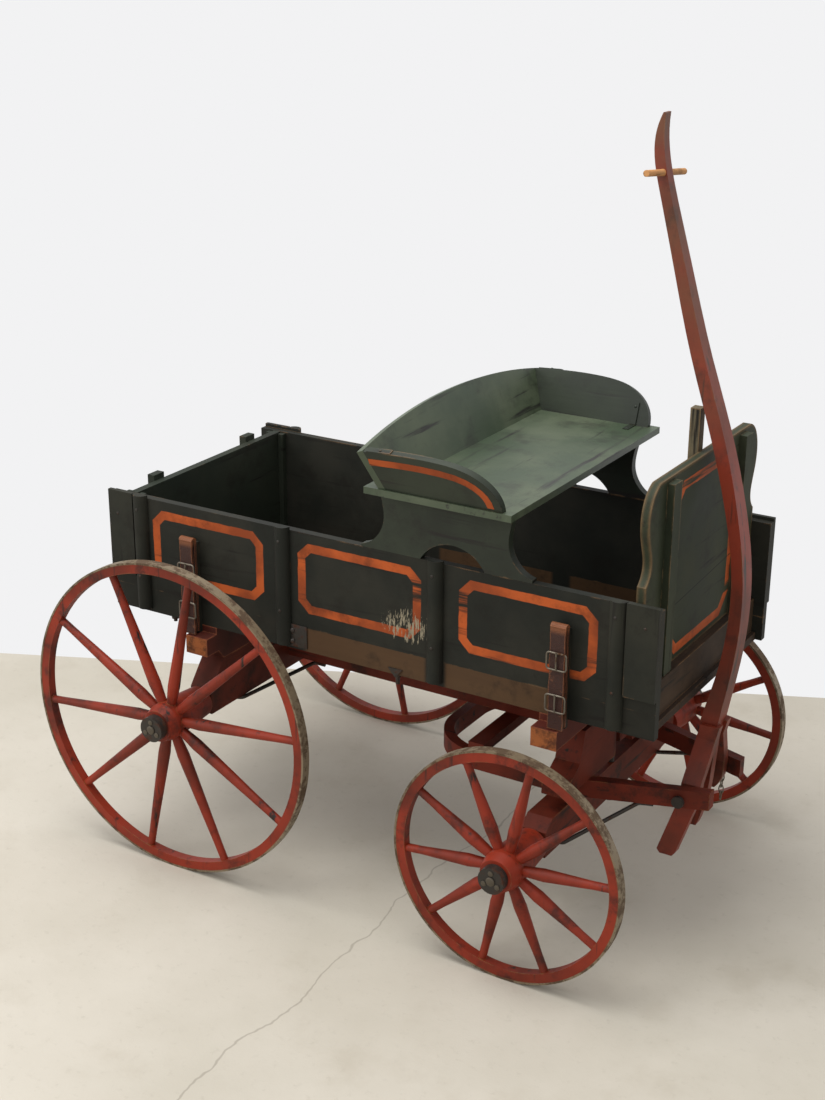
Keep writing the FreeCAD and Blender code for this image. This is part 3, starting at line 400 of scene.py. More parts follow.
@dataclass(frozen=True)
class Leather:
    """Old harness leather: dark and cracked, tan where its edges are rubbed."""

    name: str = "cracked_leather"
    dark: Colour = tint(62, 34, 26)
    rubbed: Colour = tint(142, 86, 52)
    top_from: float = 0.505

    def material(self) -> bpy.types.Material:
        """Build the finish."""
        graph = Graph(self.name)
        cells = graph.tree.nodes.new("ShaderNodeTexVoronoi")
        cells.feature = "DISTANCE_TO_EDGE"
        graph.feed(cells.inputs["Vector"], graph.coordinates)
        cells.inputs["Scale"].default_value = 420
        cracks = graph.ramp(cells.outputs["Distance"], 0.0, 0.12)
        patches = graph.noise(55, None, 5, 0.65)
        near_edge = graph.ramp(graph.edges(0.0025), 0.01, 0.10)
        rubbing = graph.math("ADD", graph.math("MULTIPLY", near_edge, 0.4), patches)
        rubbed = graph.ramp(rubbing, 0.60, 0.78)
        colour = graph.mix(rubbed, self.dark, self.rubbed)
        colour = graph.mix(graph.math("MULTIPLY", graph.math("SUBTRACT", 1.0, cracks), 0.6),
                           colour, tint(24, 14, 10))
        top = graph.ramp(graph.split(graph.coordinates)[2], self.top_from, self.top_from + 0.010)
        colour = graph.mix(graph.math("MULTIPLY", top, 0.7), colour, self.rubbed)
        return graph.finish(colour, 0.5, graph.math("ADD", cracks, patches), 0.0005, sheen=0.35)


@dataclass(frozen=True)
class Ground:
    """Pale smooth concrete with one fine crack."""

    name: str = "pale_concrete"
    crack: float = 0.10

    def material(self) -> bpy.types.Material:
        """Build the finish."""
        graph = Graph(self.name)
        clouds = graph.noise(1.3, None, 6, 0.6)
        specks = graph.noise(60, None, 4, 0.7)
        colour = graph.mix(graph.ramp(clouds, 0.3, 0.75), tint(208, 201, 188), tint(190, 183, 168))
        colour = graph.mix(graph.math("MULTIPLY", graph.ramp(specks, 0.55, 0.8), 0.25),
                           colour, tint(150, 142, 126))
        stains = graph.ramp(graph.noise(4.5, None, 7, 0.65), 0.52, 0.72)
        colour = graph.mix(graph.math("MULTIPLY", stains, 0.22), colour, tint(158, 146, 124))
        across = graph.split(graph.coordinates)[0]
        wander = graph.math("SUBTRACT", graph.noise(3, None, 5, 0.6), 0.5)
        across = graph.math("ADD", across, graph.math("MULTIPLY", wander, 0.10))
        off = graph.math("ABSOLUTE", graph.math("SUBTRACT", across, self.crack))
        colour = graph.mix(graph.math("MULTIPLY", graph.ramp(off, 0.0022, 0.0006), 0.4), colour,
                           tint(120, 110, 96))
        return graph.finish(colour, 0.7, specks, 0.0006, sheen=0.3)


class Finishes:
    """Every finish of the wagon, each made once."""

    def __init__(self) -> None:
        """Build the materials."""
        bare = tint(132, 102, 70)
        outside, inside = tint(29, 31, 26), tint(36, 42, 34)
        panels = tuple(Band((middle + AXLE_LINE, 0.4920), (half, 0.0555))
                       for middle, half in ((0.0085, 0.1045), (0.282, 0.106), (0.5575, 0.1075)))
        self.sides = FramedPaint("side_paint", outside, tint(45, 44, 37), bare, Grain.ALONG, 0.4,
                                 bands=panels, scuff=(0.366 + AXLE_LINE, 0.456)).material()
        self.box = OldPaint("box_paint", outside, tint(46, 46, 38), bare, Grain.UPRIGHT,
                            0.35).material()
        self.inside = OldPaint("inside_paint", inside, tint(46, 50, 40), bare, Grain.ACROSS,
                               0.3).material()
        self.seat = OldPaint("seat_paint", tint(54, 68, 48), tint(82, 91, 70), tint(140, 132, 104),
                             Grain.ACROSS, 0.25, 0.32, sheen=0.5).material()
        self.seat_side = OldPaint("seat_side_paint", tint(32, 38, 28), tint(48, 55, 42), bare,
                                  Grain.ALONG, 0.35, 0.4, sheen=0.35).material()
        dash_band = Band((0.0, 0.5765), (0.1125, 0.1275), 0.03, 0.014)
        self.dash = FramedPaint("dash_paint", tint(40, 47, 33), tint(58, 61, 45), tint(140, 112, 76),
                                Grain.ACROSS, 0.85, 0.5, 0.009, bands=(dash_band,), face_axis=0,
                                face_at=0.725 + AXLE_LINE - 0.002,
                                joint=((-0.071, 0.527), (0.119, 0.538))).material()
        self.dash_trim = OldPaint("dash_trim_paint", tint(40, 47, 34), tint(56, 60, 45),
                                  tint(158, 132, 96), Grain.UPRIGHT, 0.5).material()
        self.post = OldPaint("post_paint", tint(120, 104, 78), tint(92, 90, 74), tint(150, 122, 86),
                             Grain.UPRIGHT, 0.8).material()
        # the floor boards' dark brown is their own worn colour, darkened further to paint in the shade
        # that falls inside the box and under the seat
        self.worn = OldPaint("worn_shaded_floor_boards", tint(52, 38, 28), tint(38, 29, 23), tint(88, 66, 46),
                             Grain.ALONG, 0.5, 0.6).material()
        bare_runs = tuple((start + AXLE_LINE, end + AXLE_LINE)
                          for start, end in ((0.186, 0.396), (0.429, 0.600)))
        self.sills = PatchedPaint("sill_paint", outside, tint(44, 42, 35), bare, Grain.ALONG, 0.3,
                                  stretches=bare_runs).material()
        self.sill_front = OldPaint("worn_cross_sill", tint(66, 50, 36), tint(46, 36, 28),
                                   tint(142, 108, 74), Grain.ACROSS, 0.5, 0.6).material()
        red, deep, wood = tint(142, 44, 21), tint(94, 32, 16), tint(160, 100, 58)
        self.wheel = OldPaint("wheel_paint", red, deep, wood, Grain.UPRIGHT, 0.5, 0.4, 0.003, 0.7,
                              0.3).material()
        self.gear_along = OldPaint("gear_paint_along", tint(108, 38, 22), tint(72, 29, 17), wood,
                                   Grain.ALONG, 0.4, 0.5, grime=0.7).material()
        self.gear_across = OldPaint("gear_paint_across", tint(102, 38, 22), tint(68, 29, 17), wood,
                                    Grain.ACROSS, 0.4, 0.5, grime=0.7).material()
        self.bolster = EndedPaint("bolster_paint", tint(88, 36, 26), tint(64, 32, 24),
                                  tint(186, 104, 70), Grain.ACROSS, 0.6, 0.5).material()
        self.tongue = HandledPaint("tongue_paint", tint(132, 46, 25), tint(92, 39, 22), tint(150, 96, 58),
                                   Grain.UPRIGHT, 0.4, 0.35, grime=0.5, sheen=0.4).material()
        self.dowel = OldPaint("raw_dowel", tint(206, 152, 98), tint(190, 134, 84), tint(220, 170, 118),
                              Grain.ACROSS, 0.2, 0.5).material()
        self.iron = Iron("rusty_iron", tint(60, 56, 52), tint(84, 52, 36)).material()
        self.worn_iron = Iron("worn_iron", tint(92, 84, 72), tint(70, 48, 36), 0.4).material()
        self.bright = Iron("worn_steel", tint(120, 112, 100), tint(96, 66, 44), 0.35, 0.8).material()
        self.hoop = Iron("steel_hoop", tint(132, 116, 92), tint(90, 70, 50), 0.7, 0.2).material()
        self.leather = Leather().material()
        self.line = OldPaint("line_paint", ORANGE, DARK_ORANGE, tint(60, 62, 55), Grain.ALONG,
                             0.2, 0.45).material()


# ------------------------------------------------------------------ mesh making
def linked(name: str, data: bpy.types.ID) -> bpy.types.Object:
    """A new object of the data, in the scene."""
    thing = bpy.data.objects.new(name, data)
    bpy.context.scene.collection.objects.link(thing)
    return thing


def place(name: str, shape: bmesh.types.BMesh, material: bpy.types.Material,
          smooth: float = 35.0) -> bpy.types.Object:
    """Make an object of a finished mesh.

    Args:
        name: the piece's name.
        shape: the mesh, in the row frame; it is freed.
        material: its finish.
        smooth: faces meeting at less than this many degrees are shaded smooth.

    Returns:
        The linked object, at the origin.
    """
    bmesh.ops.remove_doubles(shape, verts=shape.verts, dist=1e-6)
    bmesh.ops.recalc_face_normals(shape, faces=shape.faces)
    mesh = bpy.data.meshes.new(name)
    shape.to_mesh(mesh)
    shape.free()
    mesh.materials.append(material)
    piece = linked(name, mesh)
    for polygon in mesh.polygons:
        polygon.use_smooth = True
    mesh.set_sharp_from_angle(angle=math.radians(smooth))
    return piece


def block(shape: bmesh.types.BMesh, low: Point, high: Point, round_by: float = 0.0008) -> None:
    """Add a box with rounded edges between two corners."""
    made = bmesh.ops.create_cube(shape, size=1.0)
    size = Vector(high) - Vector(low)
    middle = (Vector(high) + Vector(low)) / 2
    matrix = Matrix.Translation(middle) @ Matrix.Diagonal((*size, 1.0))
    bmesh.ops.transform(shape, matrix=matrix, verts=made["verts"])
    edges = list({edge for vert in made["verts"] for edge in vert.link_edges})
    bmesh.ops.bevel(shape, geom=edges, offset=round_by, segments=2, affect="EDGES", profile=0.5)


def skin(shape: bmesh.types.BMesh, lower: Sequence[bmesh.types.BMVert],
         upper: Sequence[bmesh.types.BMVert], closed: bool = True) -> None:
    """Add the faces between two rows of corners; the ends of closed rows meet."""
    count = len(lower)
    for i in range(count if closed else count - 1):
        j = (i + 1) % count
        shape.faces.new((lower[i], lower[j], upper[j], upper[i]))


def turned(shape: bmesh.types.BMesh, profile: Sequence[tuple[float, float]], base: Vector,
           axis: Vector, steps: int = 32) -> None:
    """Add a turned solid.

    Args:
        shape: mesh to add to.
        profile: (radius, height along the axis), from one end to the other.
        base: the axis's start.
        axis: its direction.
        steps: corners round it.
    """
    turn = axis.normalized().to_track_quat("Z", "Y").to_matrix()
    rings = []
    for radius, height in profile:
        ring = []
        for step in range(steps):
            angle = 2 * math.pi * step / steps
            local = Vector((radius * math.cos(angle), radius * math.sin(angle), height))
            ring.append(shape.verts.new(base + turn @ local))
        rings.append(ring)
    for lower, upper in zip(rings, rings[1:]):
        skin(shape, lower, upper)
    shape.faces.new(rings[0][::-1])
    shape.faces.new(rings[-1])


def wire(shape: bmesh.types.BMesh, points: Sequence[Vector], radius: float, closed: bool = False,
         steps: int = 10) -> None:
    """Add a round wire along the points, capped unless it is closed."""
    count = len(points)
    rings = []
    side = None
    for i, point in enumerate(points):
        before = points[i - 1] if i or closed else point
        after = points[(i + 1) % count] if i < count - 1 or closed else point
        along = (after - before).normalized()
        if side is None:
            side = along.orthogonal()
        side = (side - along * side.dot(along)).normalized()
        other = along.cross(side)
        ring = []
        for step in range(steps):
            angle = 2 * math.pi * step / steps
            outward = side * math.cos(angle) + other * math.sin(angle)
            ring.append(shape.verts.new(point + outward * radius))
        rings.append(ring)
    pairs = list(zip(rings, rings[1:])) + ([(rings[-1], rings[0])] if closed else [])
    for lower, upper in pairs:
        skin(shape, lower, upper)
    if not closed:
        shape.faces.new(rings[0][::-1])
        shape.faces.new(rings[-1])


def strip(shape: bmesh.types.BMesh, near: Sequence[Vector], far: Sequence[Vector],
          out: Vector) -> None:
    """Add a thin closed skin between two rows of points, standing out along a vector."""
    rows = [[shape.verts.new(point) for point in near], [shape.verts.new(point) for point in far],
            [shape.verts.new(point + out) for point in far],
            [shape.verts.new(point + out) for point in near]]
    for a in range(4):
        skin(shape, rows[a], rows[(a + 1) % 4], closed=False)
    for i in (0, len(near) - 1):
        shape.faces.new([row[i] for row in rows])


def finish_piece(piece: bpy.types.Object, body: str,
                 stands_for: Iterable[str] = ()) -> None:
    """Make a piece ride on its body and hide what it stands for."""
    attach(piece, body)
    for node in stands_for:
        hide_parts(node)
    LOG.info("%s rides on %s: %d faces", piece.name, body, len(piece.data.polygons))


class Heads:
    """Round bolt and nail heads, set on marked places by a geometry node tree."""

    def __init__(self) -> None:
        """Build the tree once; every row of heads uses it."""
        tree = bpy.data.node_groups.new("heads_on_places", "GeometryNodeTree")
        self.tree = tree
        sockets = {}
        for name, kind in (("Places", "Geometry"), ("Radius", "Float"), ("Height", "Float"),
                           ("Finish", "Material")):
            sockets[name] = tree.interface.new_socket(name, in_out="INPUT",
                                                      socket_type=f"NodeSocket{kind}")
        tree.interface.new_socket("Heads", in_out="OUTPUT", socket_type="NodeSocketGeometry")
        self.inputs = {name: socket.identifier for name, socket in sockets.items()}
        nodes, links = tree.nodes, tree.links
        start, end = nodes.new("NodeGroupInput"), nodes.new("NodeGroupOutput")
        ball = nodes.new("GeometryNodeMeshUVSphere")
        ball.inputs["Segments"].default_value = 10
        ball.inputs["Rings"].default_value = 6
        ball.inputs["Radius"].default_value = 1.0
        size = nodes.new("ShaderNodeCombineXYZ")
        links.new(start.outputs["Radius"], size.inputs["X"])
        links.new(start.outputs["Radius"], size.inputs["Y"])
        links.new(start.outputs["Height"], size.inputs["Z"])
        facing = nodes.new("GeometryNodeInputNamedAttribute")
        facing.data_type = "FLOAT_VECTOR"
        facing.inputs["Name"].default_value = "facing"
        align = nodes.new("FunctionNodeAlignRotationToVector")
        align.axis = "Z"
        links.new(facing.outputs["Attribute"], align.inputs["Vector"])
        spread = nodes.new("GeometryNodeInstanceOnPoints")
        links.new(start.outputs["Places"], spread.inputs["Points"])
        links.new(ball.outputs["Mesh"], spread.inputs["Instance"])
        links.new(align.outputs["Rotation"], spread.inputs["Rotation"])
        links.new(size.outputs["Vector"], spread.inputs["Scale"])
        solid = nodes.new("GeometryNodeRealizeInstances")
        links.new(spread.outputs["Instances"], solid.inputs["Geometry"])
        dress = nodes.new("GeometryNodeSetMaterial")
        links.new(solid.outputs["Geometry"], dress.inputs["Geometry"])
        links.new(start.outputs["Finish"], dress.inputs["Material"])
        links.new(dress.outputs["Geometry"], end.inputs["Heads"])

    def row(self, name: str, places: Sequence[tuple[Point, Point]], radius: float, height: float,
            material: bpy.types.Material) -> bpy.types.Object:
        """Heads at the given places.

        Args:
            name: the piece's name.
            places: (point, direction the head faces) for each.
            radius: of a head.
            height: how far a head stands out.
            material: its finish.

        Returns:
            One plain mesh object with all the heads.
        """
        mesh = bpy.data.meshes.new(f"{name}_places")
        mesh.from_pydata([point for point, facing in places], [], [])
        mesh.attributes.new("facing", "FLOAT_VECTOR", "POINT")
        for item, (point, facing) in zip(mesh.attributes["facing"].data, places):
            item.vector = facing
        marks = linked(f"{name}_marks", mesh)
        modifier = marks.modifiers.new("heads", "NODES")
        modifier.node_group = self.tree
        modifier[self.inputs["Radius"]] = radius
        modifier[self.inputs["Height"]] = height
        modifier[self.inputs["Finish"]] = material
        graph = bpy.context.evaluated_depsgraph_get()
        solid = bpy.data.meshes.new_from_object(marks.evaluated_get(graph))
        bpy.data.objects.remove(marks)
        solid.name = name
        piece = linked(name, solid)
        for polygon in solid.polygons:
            polygon.use_smooth = True
        return piece


def from_axle(x: float, y: float, z: float) -> Point:
    """A point whose X is counted from the rear axle line."""
    return (x + AXLE_LINE, y, z)


# ------------------------------------------------------------------ sub-assemblies
@dataclass
class Body:
    """The plank box: its boards' paint, the irons on its sills and the nails.

    Every x is from the rear axle line.
    """

    finishes: Finishes
    heads: Heads
    half: float = 0.206
    floor_under: float = 0.374
    sill_top: float = 0.412
    iron_thick: float = 0.0022
    iron_places: tuple[float, ...] = (0.177,)
    bolt_ends: tuple[tuple[float, float], ...] = ((-0.065, 0.010), (0.346, 0.018))
    plate: tuple[tuple[float, float], ...] = ((0.334, 0.010), (0.358, 0.010), (0.346, -0.004))
    cleat_lines: tuple[float, ...] = (-0.117, 0.150, 0.413, 0.695)
    cleat_nails: tuple[float, ...] = (0.436, 0.546)
    cleat_out: float = 0.013
    post_nails: tuple[tuple[float, float], ...] = ((-0.160, 0.531), (0.736, 0.537))
    post_out: float = 0.007

    def dress(self) -> None:
        """Give each board its paint."""
        paints = {"side_left": self.finishes.sides, "side_right": self.finishes.sides,
                  "side_cleats_left": self.finishes.box, "side_cleats_right": self.finishes.box,
                  "tailgate": self.finishes.inside, "tailgate_guides": self.finishes.inside,
                  "dash": self.finishes.dash, "dash_cleats": self.finishes.dash_trim,
                  # the floor boards' finish holds painted shade as well as their worn brown
                  "dash_post": self.finishes.post, "floor_boards": self.finishes.worn,
                  "side_sills": self.finishes.sills, "front_sill": self.finishes.sill_front,
                  "stakes": self.finishes.box}
        paint_nodes(paints)

    def irons(self) -> None:
        """Small iron plates that tie the cleats to the sills, with two bolts each."""
        shape = bmesh.new()
        bolts = []
        for sign in (1, -1):
            outer = sign * (self.half + self.iron_thick)
            for x in self.iron_places:
                low, high = from_axle(x - 0.024, 0, 0)[0], from_axle(x + 0.014, 0, 0)[0]
                ys = sorted((sign * self.half, outer))
                block(shape, (low, ys[0], self.floor_under + 0.004),
                      (high, ys[1], self.sill_top + 0.002))
                for z in (self.floor_under + 0.013, self.sill_top - 0.008):
                    bolts.append(((low + 0.012, outer, z), (0, sign, 0)))
        finish_piece(place("sill_irons", shape, self.finishes.iron), "wagon_box")
        row = self.heads.row("sill_bolts", bolts, 0.0045, 0.003, self.finishes.iron)
        finish_piece(row, "wagon_box")

    def hanging_bolts(self) -> None:
        """Two bolt ends under each sill, the front one through a three-cornered plate."""
        shape = bmesh.new()
        down = Vector((0, 0, -1))
        for sign in (1, -1):
            y = sign * (self.half - 0.006)
            for x, length in self.bolt_ends:
                top = Vector(from_axle(x, y, self.floor_under + 0.001))
                profile = [(0.0060, 0), (0.0060, 0.005), (0.0030, 0.0052), (0.0030, length)]
                turned(shape, profile, top, down, 12)
            outer = sign * self.half
            near = [Vector(from_axle(x, outer, self.floor_under + up)) for x, up in self.plate]
            rows = [[shape.verts.new(spot + Vector((0, sign * out, 0))) for spot in near]
                    for out in (0.0, self.iron_thick)]
            for row in rows:
                shape.faces.new(row)
            skin(shape, *rows)
        finish_piece(place("hanging_bolts", shape, self.finishes.iron), "wagon_box")

    def nails(self) -> None:
        """Nail heads down every cleat and flat post."""
        places = []
        for sign in (1, -1):
            for x in self.cleat_lines:
                for z in self.cleat_nails:
                    places.append((from_axle(x, sign * (self.half + self.cleat_out), z),
                                   (0, sign, 0)))
            for x, z in self.post_nails:
                places.append((from_axle(x, sign * (self.half + self.post_out), z), (0, sign, 0)))
        row = self.heads.row("cleat_nails", places, 0.0024, 0.0008, self.finishes.iron)
        finish_piece(row, "wagon_box")

    def build(self) -> None:
        """Dress and fit the box."""
        self.dress()
        self.irons()
        self.hanging_bolts()
        self.nails()


@dataclass
class Seat:
    """The seat: paint, corner irons and the orange lines on its side panels."""

    finishes: Finishes
    heads: Heads
    flare: float = math.radians(20)
    foot_half: float = 0.228
    top: float = 0.668
    thick: float = 0.010
    line_inset: float = 0.0115
    line_width: float = 0.0105
    line_thick: float = 0.0003
    iron_x: float = 0.508
    iron_head: float = 0.036
    iron_foot: float = 0.026
    iron_half: float = 0.005
    iron_thick: float = 0.0014
    outline: tuple[tuple[float, float], ...] = (
        (0.331, 0.0648), (0.345, 0.0658), (0.370, 0.0675), (0.395, 0.0685), (0.420, 0.0686),
        (0.445, 0.0677), (0.470, 0.0649), (0.490, 0.0594), (0.505, 0.0518), (0.516, 0.0433),
        (0.524, 0.0341), (0.530, 0.0224), (0.5328, 0.0094))

    def on_panel(self, sign: int, x: float, height: float, out: float) -> Vector:
        """A point on a side panel.

        Args:
            sign: 1 left, -1 right.
            x: from the rear axle line.
            height: up the sloping panel.
            out: away from the panel's inner face.

        Returns:
            The point in the row frame.
        """
        y = self.foot_half + height * math.sin(self.flare) + out * math.cos(self.flare)
        z = self.top + height * math.cos(self.flare) - out * math.sin(self.flare)
        return Vector(from_axle(x, sign * y, z))

    def lines(self) -> None:
        """A painted line under the top edge of both panels' outer faces."""
        shape = bmesh.new()
        for sign in (1, -1):
            rows = []
            for inset in (self.line_inset, self.line_inset + self.line_width):
                row = []
                for i, (x, height) in enumerate(self.outline):
                    before = Vector(self.outline[max(i - 1, 0)])
                    after = Vector(self.outline[min(i + 1, len(self.outline) - 1)])
                    along = (after - before).normalized()
                    inward = Vector((-along.y, along.x)) * -1
                    spot = Vector((x, height)) + inward * inset
                    row.append(self.on_panel(sign, spot.x, max(spot.y, 0.008), self.thick))
                rows.append(row)
            out = self.on_panel(sign, 0, 0, self.line_thick) - self.on_panel(sign, 0, 0, 0)
            strip(shape, rows[0], rows[1], out)
        finish_piece(place("seat_lines", shape, self.finishes.line), "wagon_box")

    def irons(self) -> None:
        """A flat iron over each corner of the back, and an angle at each panel's front."""
        shape = bmesh.new()
        bolts = []
        x, half, wide = self.iron_x, self.iron_half, Vector((self.iron_half, 0, 0))
        for sign in (1, -1):
            ends = [self.on_panel(sign, x, up, -0.0008) for up in (0.0015, self.iron_head)]
            strip(shape, [end - wide for end in ends], [end + wide for end in ends],
                  self.on_panel(sign, x, 0, 0) - self.on_panel(sign, x, 0, 0.0012))
            bolts.append((tuple(self.on_panel(sign, x, self.iron_head - 0.007, -0.002)),
                          tuple(self.on_panel(sign, x, 0, -1) - self.on_panel(sign, x, 0, 0))))
            inner = self.foot_half - 0.0005
            ys = sorted((sign * (inner - self.iron_foot), sign * inner))
            over = self.top + self.iron_thick
            block(shape, from_axle(x - half, ys[0], self.top), from_axle(x + half, ys[1], over),
                  0.0004)
            bolt_y = sign * (inner - self.iron_foot + 0.006)
            bolts.append((from_axle(x, bolt_y, over), (0, 0, 1)))
            edge = self.outline[:3]
            near = [self.on_panel(sign, place_x, height, 0.0) for place_x, height in edge]
            far = [self.on_panel(sign, place_x, height, self.thick) for place_x, height in edge]
            strip(shape, near, far,
                  self.on_panel(sign, 0, self.iron_thick, 0) - self.on_panel(sign, 0, 0, 0))
            bolts.append((tuple(self.on_panel(sign, 0.352, 0.0678, self.thick / 2)), (0, 0, 1)))
        finish_piece(place("seat_irons", shape, self.finishes.seat_side), "wagon_box")
        row = self.heads.row("seat_bolts", bolts, 0.0024, 0.0010, self.finishes.seat_side)
        finish_piece(row, "wagon_box")

    def build(self) -> None:
        """Dress and fit the seat."""
        paint_nodes({"seat_board": self.finishes.seat, "seat_risers": self.finishes.seat_side,
                     "seat_arms": self.finishes.seat_side, "seat_back": self.finishes.seat})
        self.lines()
        self.irons()


@dataclass
class Straps:
    """Folded leather straps on the stakes, each with two square wire buckles."""

    finishes: Finishes
    thick: float = 0.0038
    half_width: float = 0.0115
    wire: float = 0.0014
    depth: float = 0.013
    run_steps: int = 12
    bend_steps: int = 8
    buckle_heights: tuple[float, ...] = (0.041, 0.104)

    def loop(self, node: str, sign: int) -> tuple[Vector, Vector]:
        """Lowest and highest corner of one strap of a CAD pair."""
        low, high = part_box(node)
        if sign > 0:
            return Vector((low.x, high.y - self.depth, low.z)), Vector((high.x, high.y, high.z))
        return Vector((low.x, low.y, low.z)), Vector((high.x, low.y + self.depth, high.z))

    def fold(self, shape: bmesh.types.BMesh, low: Vector, high: Vector, sign: int) -> None:
        """One strap: up the outside, over in a loop and down the inside."""
        x = (low.x + high.x) / 2
        outer = (high.y if sign > 0 else low.y) - sign * self.thick / 2
        inner = (low.y if sign > 0 else high.y) + sign * (self.thick / 2 + 0.0004)
        bend = abs(outer - inner) / 2
        middle = (outer + inner) / 2
        top = high.z - bend - self.thick / 2
        path = []
        for step in range(self.run_steps + 1):
            z = low.z + 0.001 + (top - low.z) * step / self.run_steps
            sway = 0.0012 * math.sin(z * 90 + sign)
            path.append((outer - sign * abs(sway), z))
        for step in range(1, self.bend_steps):
            angle = math.pi * step / self.bend_steps
            path.append((middle + (outer - middle) * math.cos(angle), top + bend * math.sin(angle)))
        for step in range(self.run_steps, -1, -1):
            z = low.z + 0.004 + (top - low.z - 0.003) * step / self.run_steps
            path.append((inner, z))
        rows = [[], [], [], []]
        for i, (y, z) in enumerate(path):
            before, after = path[max(i - 1, 0)], path[min(i + 1, len(path) - 1)]
            along = Vector((after[0] - before[0], after[1] - before[1])).normalized()
            normal = Vector((-along.y, along.x)) * self.thick / 2
            wide = self.half_width * (1 - 0.03 * math.sin(z * 130))
            for row, (side, face) in zip(rows, ((-1, -1), (1, -1), (1, 1), (-1, 1))):
                row.append(shape.verts.new((x + side * wide, y + face * normal.x,
                                            z + face * normal.y)))
        for a in range(4):
            skin(shape, rows[a], rows[(a + 1) % 4], closed=False)
        shape.faces.new([row[0] for row in rows])
        shape.faces.new([row[-1] for row in rows])

    def buckle(self, shape: bmesh.types.BMesh, x: float, y: float, z: float, sign: int) -> None:
        """A square wire frame with a tongue across it."""
        wide, tall, bend = 0.0150, 0.0125, 0.004
        points = []
        for quarter, (sx, sz) in enumerate(((1, 1), (-1, 1), (-1, -1), (1, -1))):
            for step in range(5):
                angle = math.pi / 2 * (quarter + step / 4)
                points.append(Vector((x + sx * (wide - bend) + bend * math.cos(angle), y,
                                      z + sz * (tall - bend) + bend * math.sin(angle))))
        wire(shape, points, self.wire, closed=True)
        prong = [Vector((x, y + sign * 0.0012, z - tall)), Vector((x, y + sign * 0.0018, z)),
                 Vector((x, y + sign * 0.0014, z + tall + 0.001))]
        wire(shape, prong, self.wire * 0.9)

    def build(self) -> None:
        """Make both pairs of straps and their buckles."""
        for end in ("front", "rear"):
            node = f"{end}_straps"
            leather, steel = bmesh.new(), bmesh.new()
            for sign in (1, -1):
                low, high = self.loop(node, sign)
                self.fold(leather, low, high, sign)
                x = (low.x + high.x) / 2
                outer = high.y if sign > 0 else low.y
                for up in self.buckle_heights:
                    self.buckle(steel, x, outer + sign * 0.0006, low.z + up, sign)
            strap = place(f"{end}_leather", leather, self.finishes.leather)
            finish_piece(strap, "wagon_box", [node])
            buckles = place(f"{end}_buckles", steel, self.finishes.bright)
            finish_piece(buckles, "wagon_box")


@dataclass
class Wheels:
    """Wheel paint and the ends of the spindles."""

    finishes: Finishes
    outside: float = 0.030
    nut_out: float = 0.0142
    spindle: tuple[tuple[float, float], ...] = (
        (0.0068, 0), (0.0068, 0.0016), (0.0052, 0.0026), (0.0008, 0.0026))
    disc: tuple[tuple[float, float], ...] = ((0.0042, -0.0004), (0.0040, 0.0012), (0.0026, 0.0018))
    disc_count: int = 3
    disc_ring: float = 0.0122
    names: tuple[str, ...] = ("front_left", "front_right", "rear_left", "rear_right")

    def centre(self, name: str) -> Vector:
        """Middle of a wheel."""
        low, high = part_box(f"tyre_{name}")
        return (low + high) / 2

    def nut(self, name: str) -> None:
        """The spindle's end in the middle of its nut, with small discs round it."""
        sign = 1 if name.endswith("left") else -1
        out = Vector((0, sign, 0))
        base = self.centre(name) + out * (self.outside + self.nut_out)
        shape = bmesh.new()
        turned(shape, self.spindle, base, out, 16)
        for step in range(self.disc_count):
            angle = math.pi / 2 + math.pi * 2 / self.disc_count * step
            spot = base + Vector((math.cos(angle), 0, math.sin(angle))) * self.disc_ring
            turned(shape, self.disc, spot, out, 10)
        body = "front_gear" if name.startswith("front") else "wagon_box"
        finish_piece(place(f"spindle_end_{name}", shape, self.finishes.worn_iron), body)

    def build(self) -> None:
        """Dress the wheels and fit the spindles' ends."""
        paints = {}
        for name in self.names:
            paints[f"wheel_{name}"] = self.finishes.wheel
            paints[f"tyre_{name}"] = self.finishes.hoop
            self.nut(name)
        paint_nodes(paints)


@dataclass
class Gear:
    """Axles, hounds, reach and tongue: their finishes, and the rest of a chain."""

    finishes: Finishes
    chain_top: Point = from_axle(0.748, 0.0870, 0.218)
    link_count: int = 7
    link_pitch: float = 0.0105
    link_half: tuple[float, float] = (0.0036, 0.0075)
    link_wire: float = 0.0011

    def dress(self) -> None:
        """Give each timber and iron its finish."""
        along, across = self.finishes.gear_along, self.finishes.gear_across
        paint_nodes({
            "rear_axle": across, "front_axle": across, "sandboard": across, "slider_bar": across,
            "rear_bolster": self.finishes.bolster, "front_bolster": self.finishes.bolster,
            "reach": along, "hounds": along, "tongue_pole": self.finishes.tongue,
            "tongue_leg_left": self.finishes.tongue, "tongue_leg_right": self.finishes.tongue,
            "handle": self.finishes.dowel})
        paint_nodes({name: self.finishes.iron for name in (
            "rear_axle_irons", "front_axle_irons", "reach_braces", "hound_braces", "kingpin",
            "upper_turning_plate", "lower_turning_plate", "tongue_bolt")})

    def chain(self) -> None:
        """What is left of a chain, hanging from the tongue bolt's left end."""
        shape = bmesh.new()
        for link in range(self.link_count):
            middle = Vector(self.chain_top) - Vector((0, 0, self.link_pitch * link))
            points = []
            for step in range(12):
                angle = 2 * math.pi * step / 12
                flat = self.link_half[0] * math.cos(angle)
                tall = self.link_half[1] * math.sin(angle)
                points.append(middle + Vector((flat, 0, tall) if link % 2 else (0, flat, tall)))
            wire(shape, points, self.link_wire, closed=True, steps=6)
        finish_piece(place("chain_end", shape, self.finishes.bright), "front_gear")

    def build(self) -> None:
        """Dress and fit the running gear."""
        self.dress()
        self.chain()


def paint_nodes(paints: dict[str, bpy.types.Material]) -> None:
    """Give CAD nodes their finishes."""
    for name, material in paints.items():
        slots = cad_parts[name].data.materials
        slots.clear()
        slots.append(material)
        LOG.info("%s is dressed in %s", name, material.name)


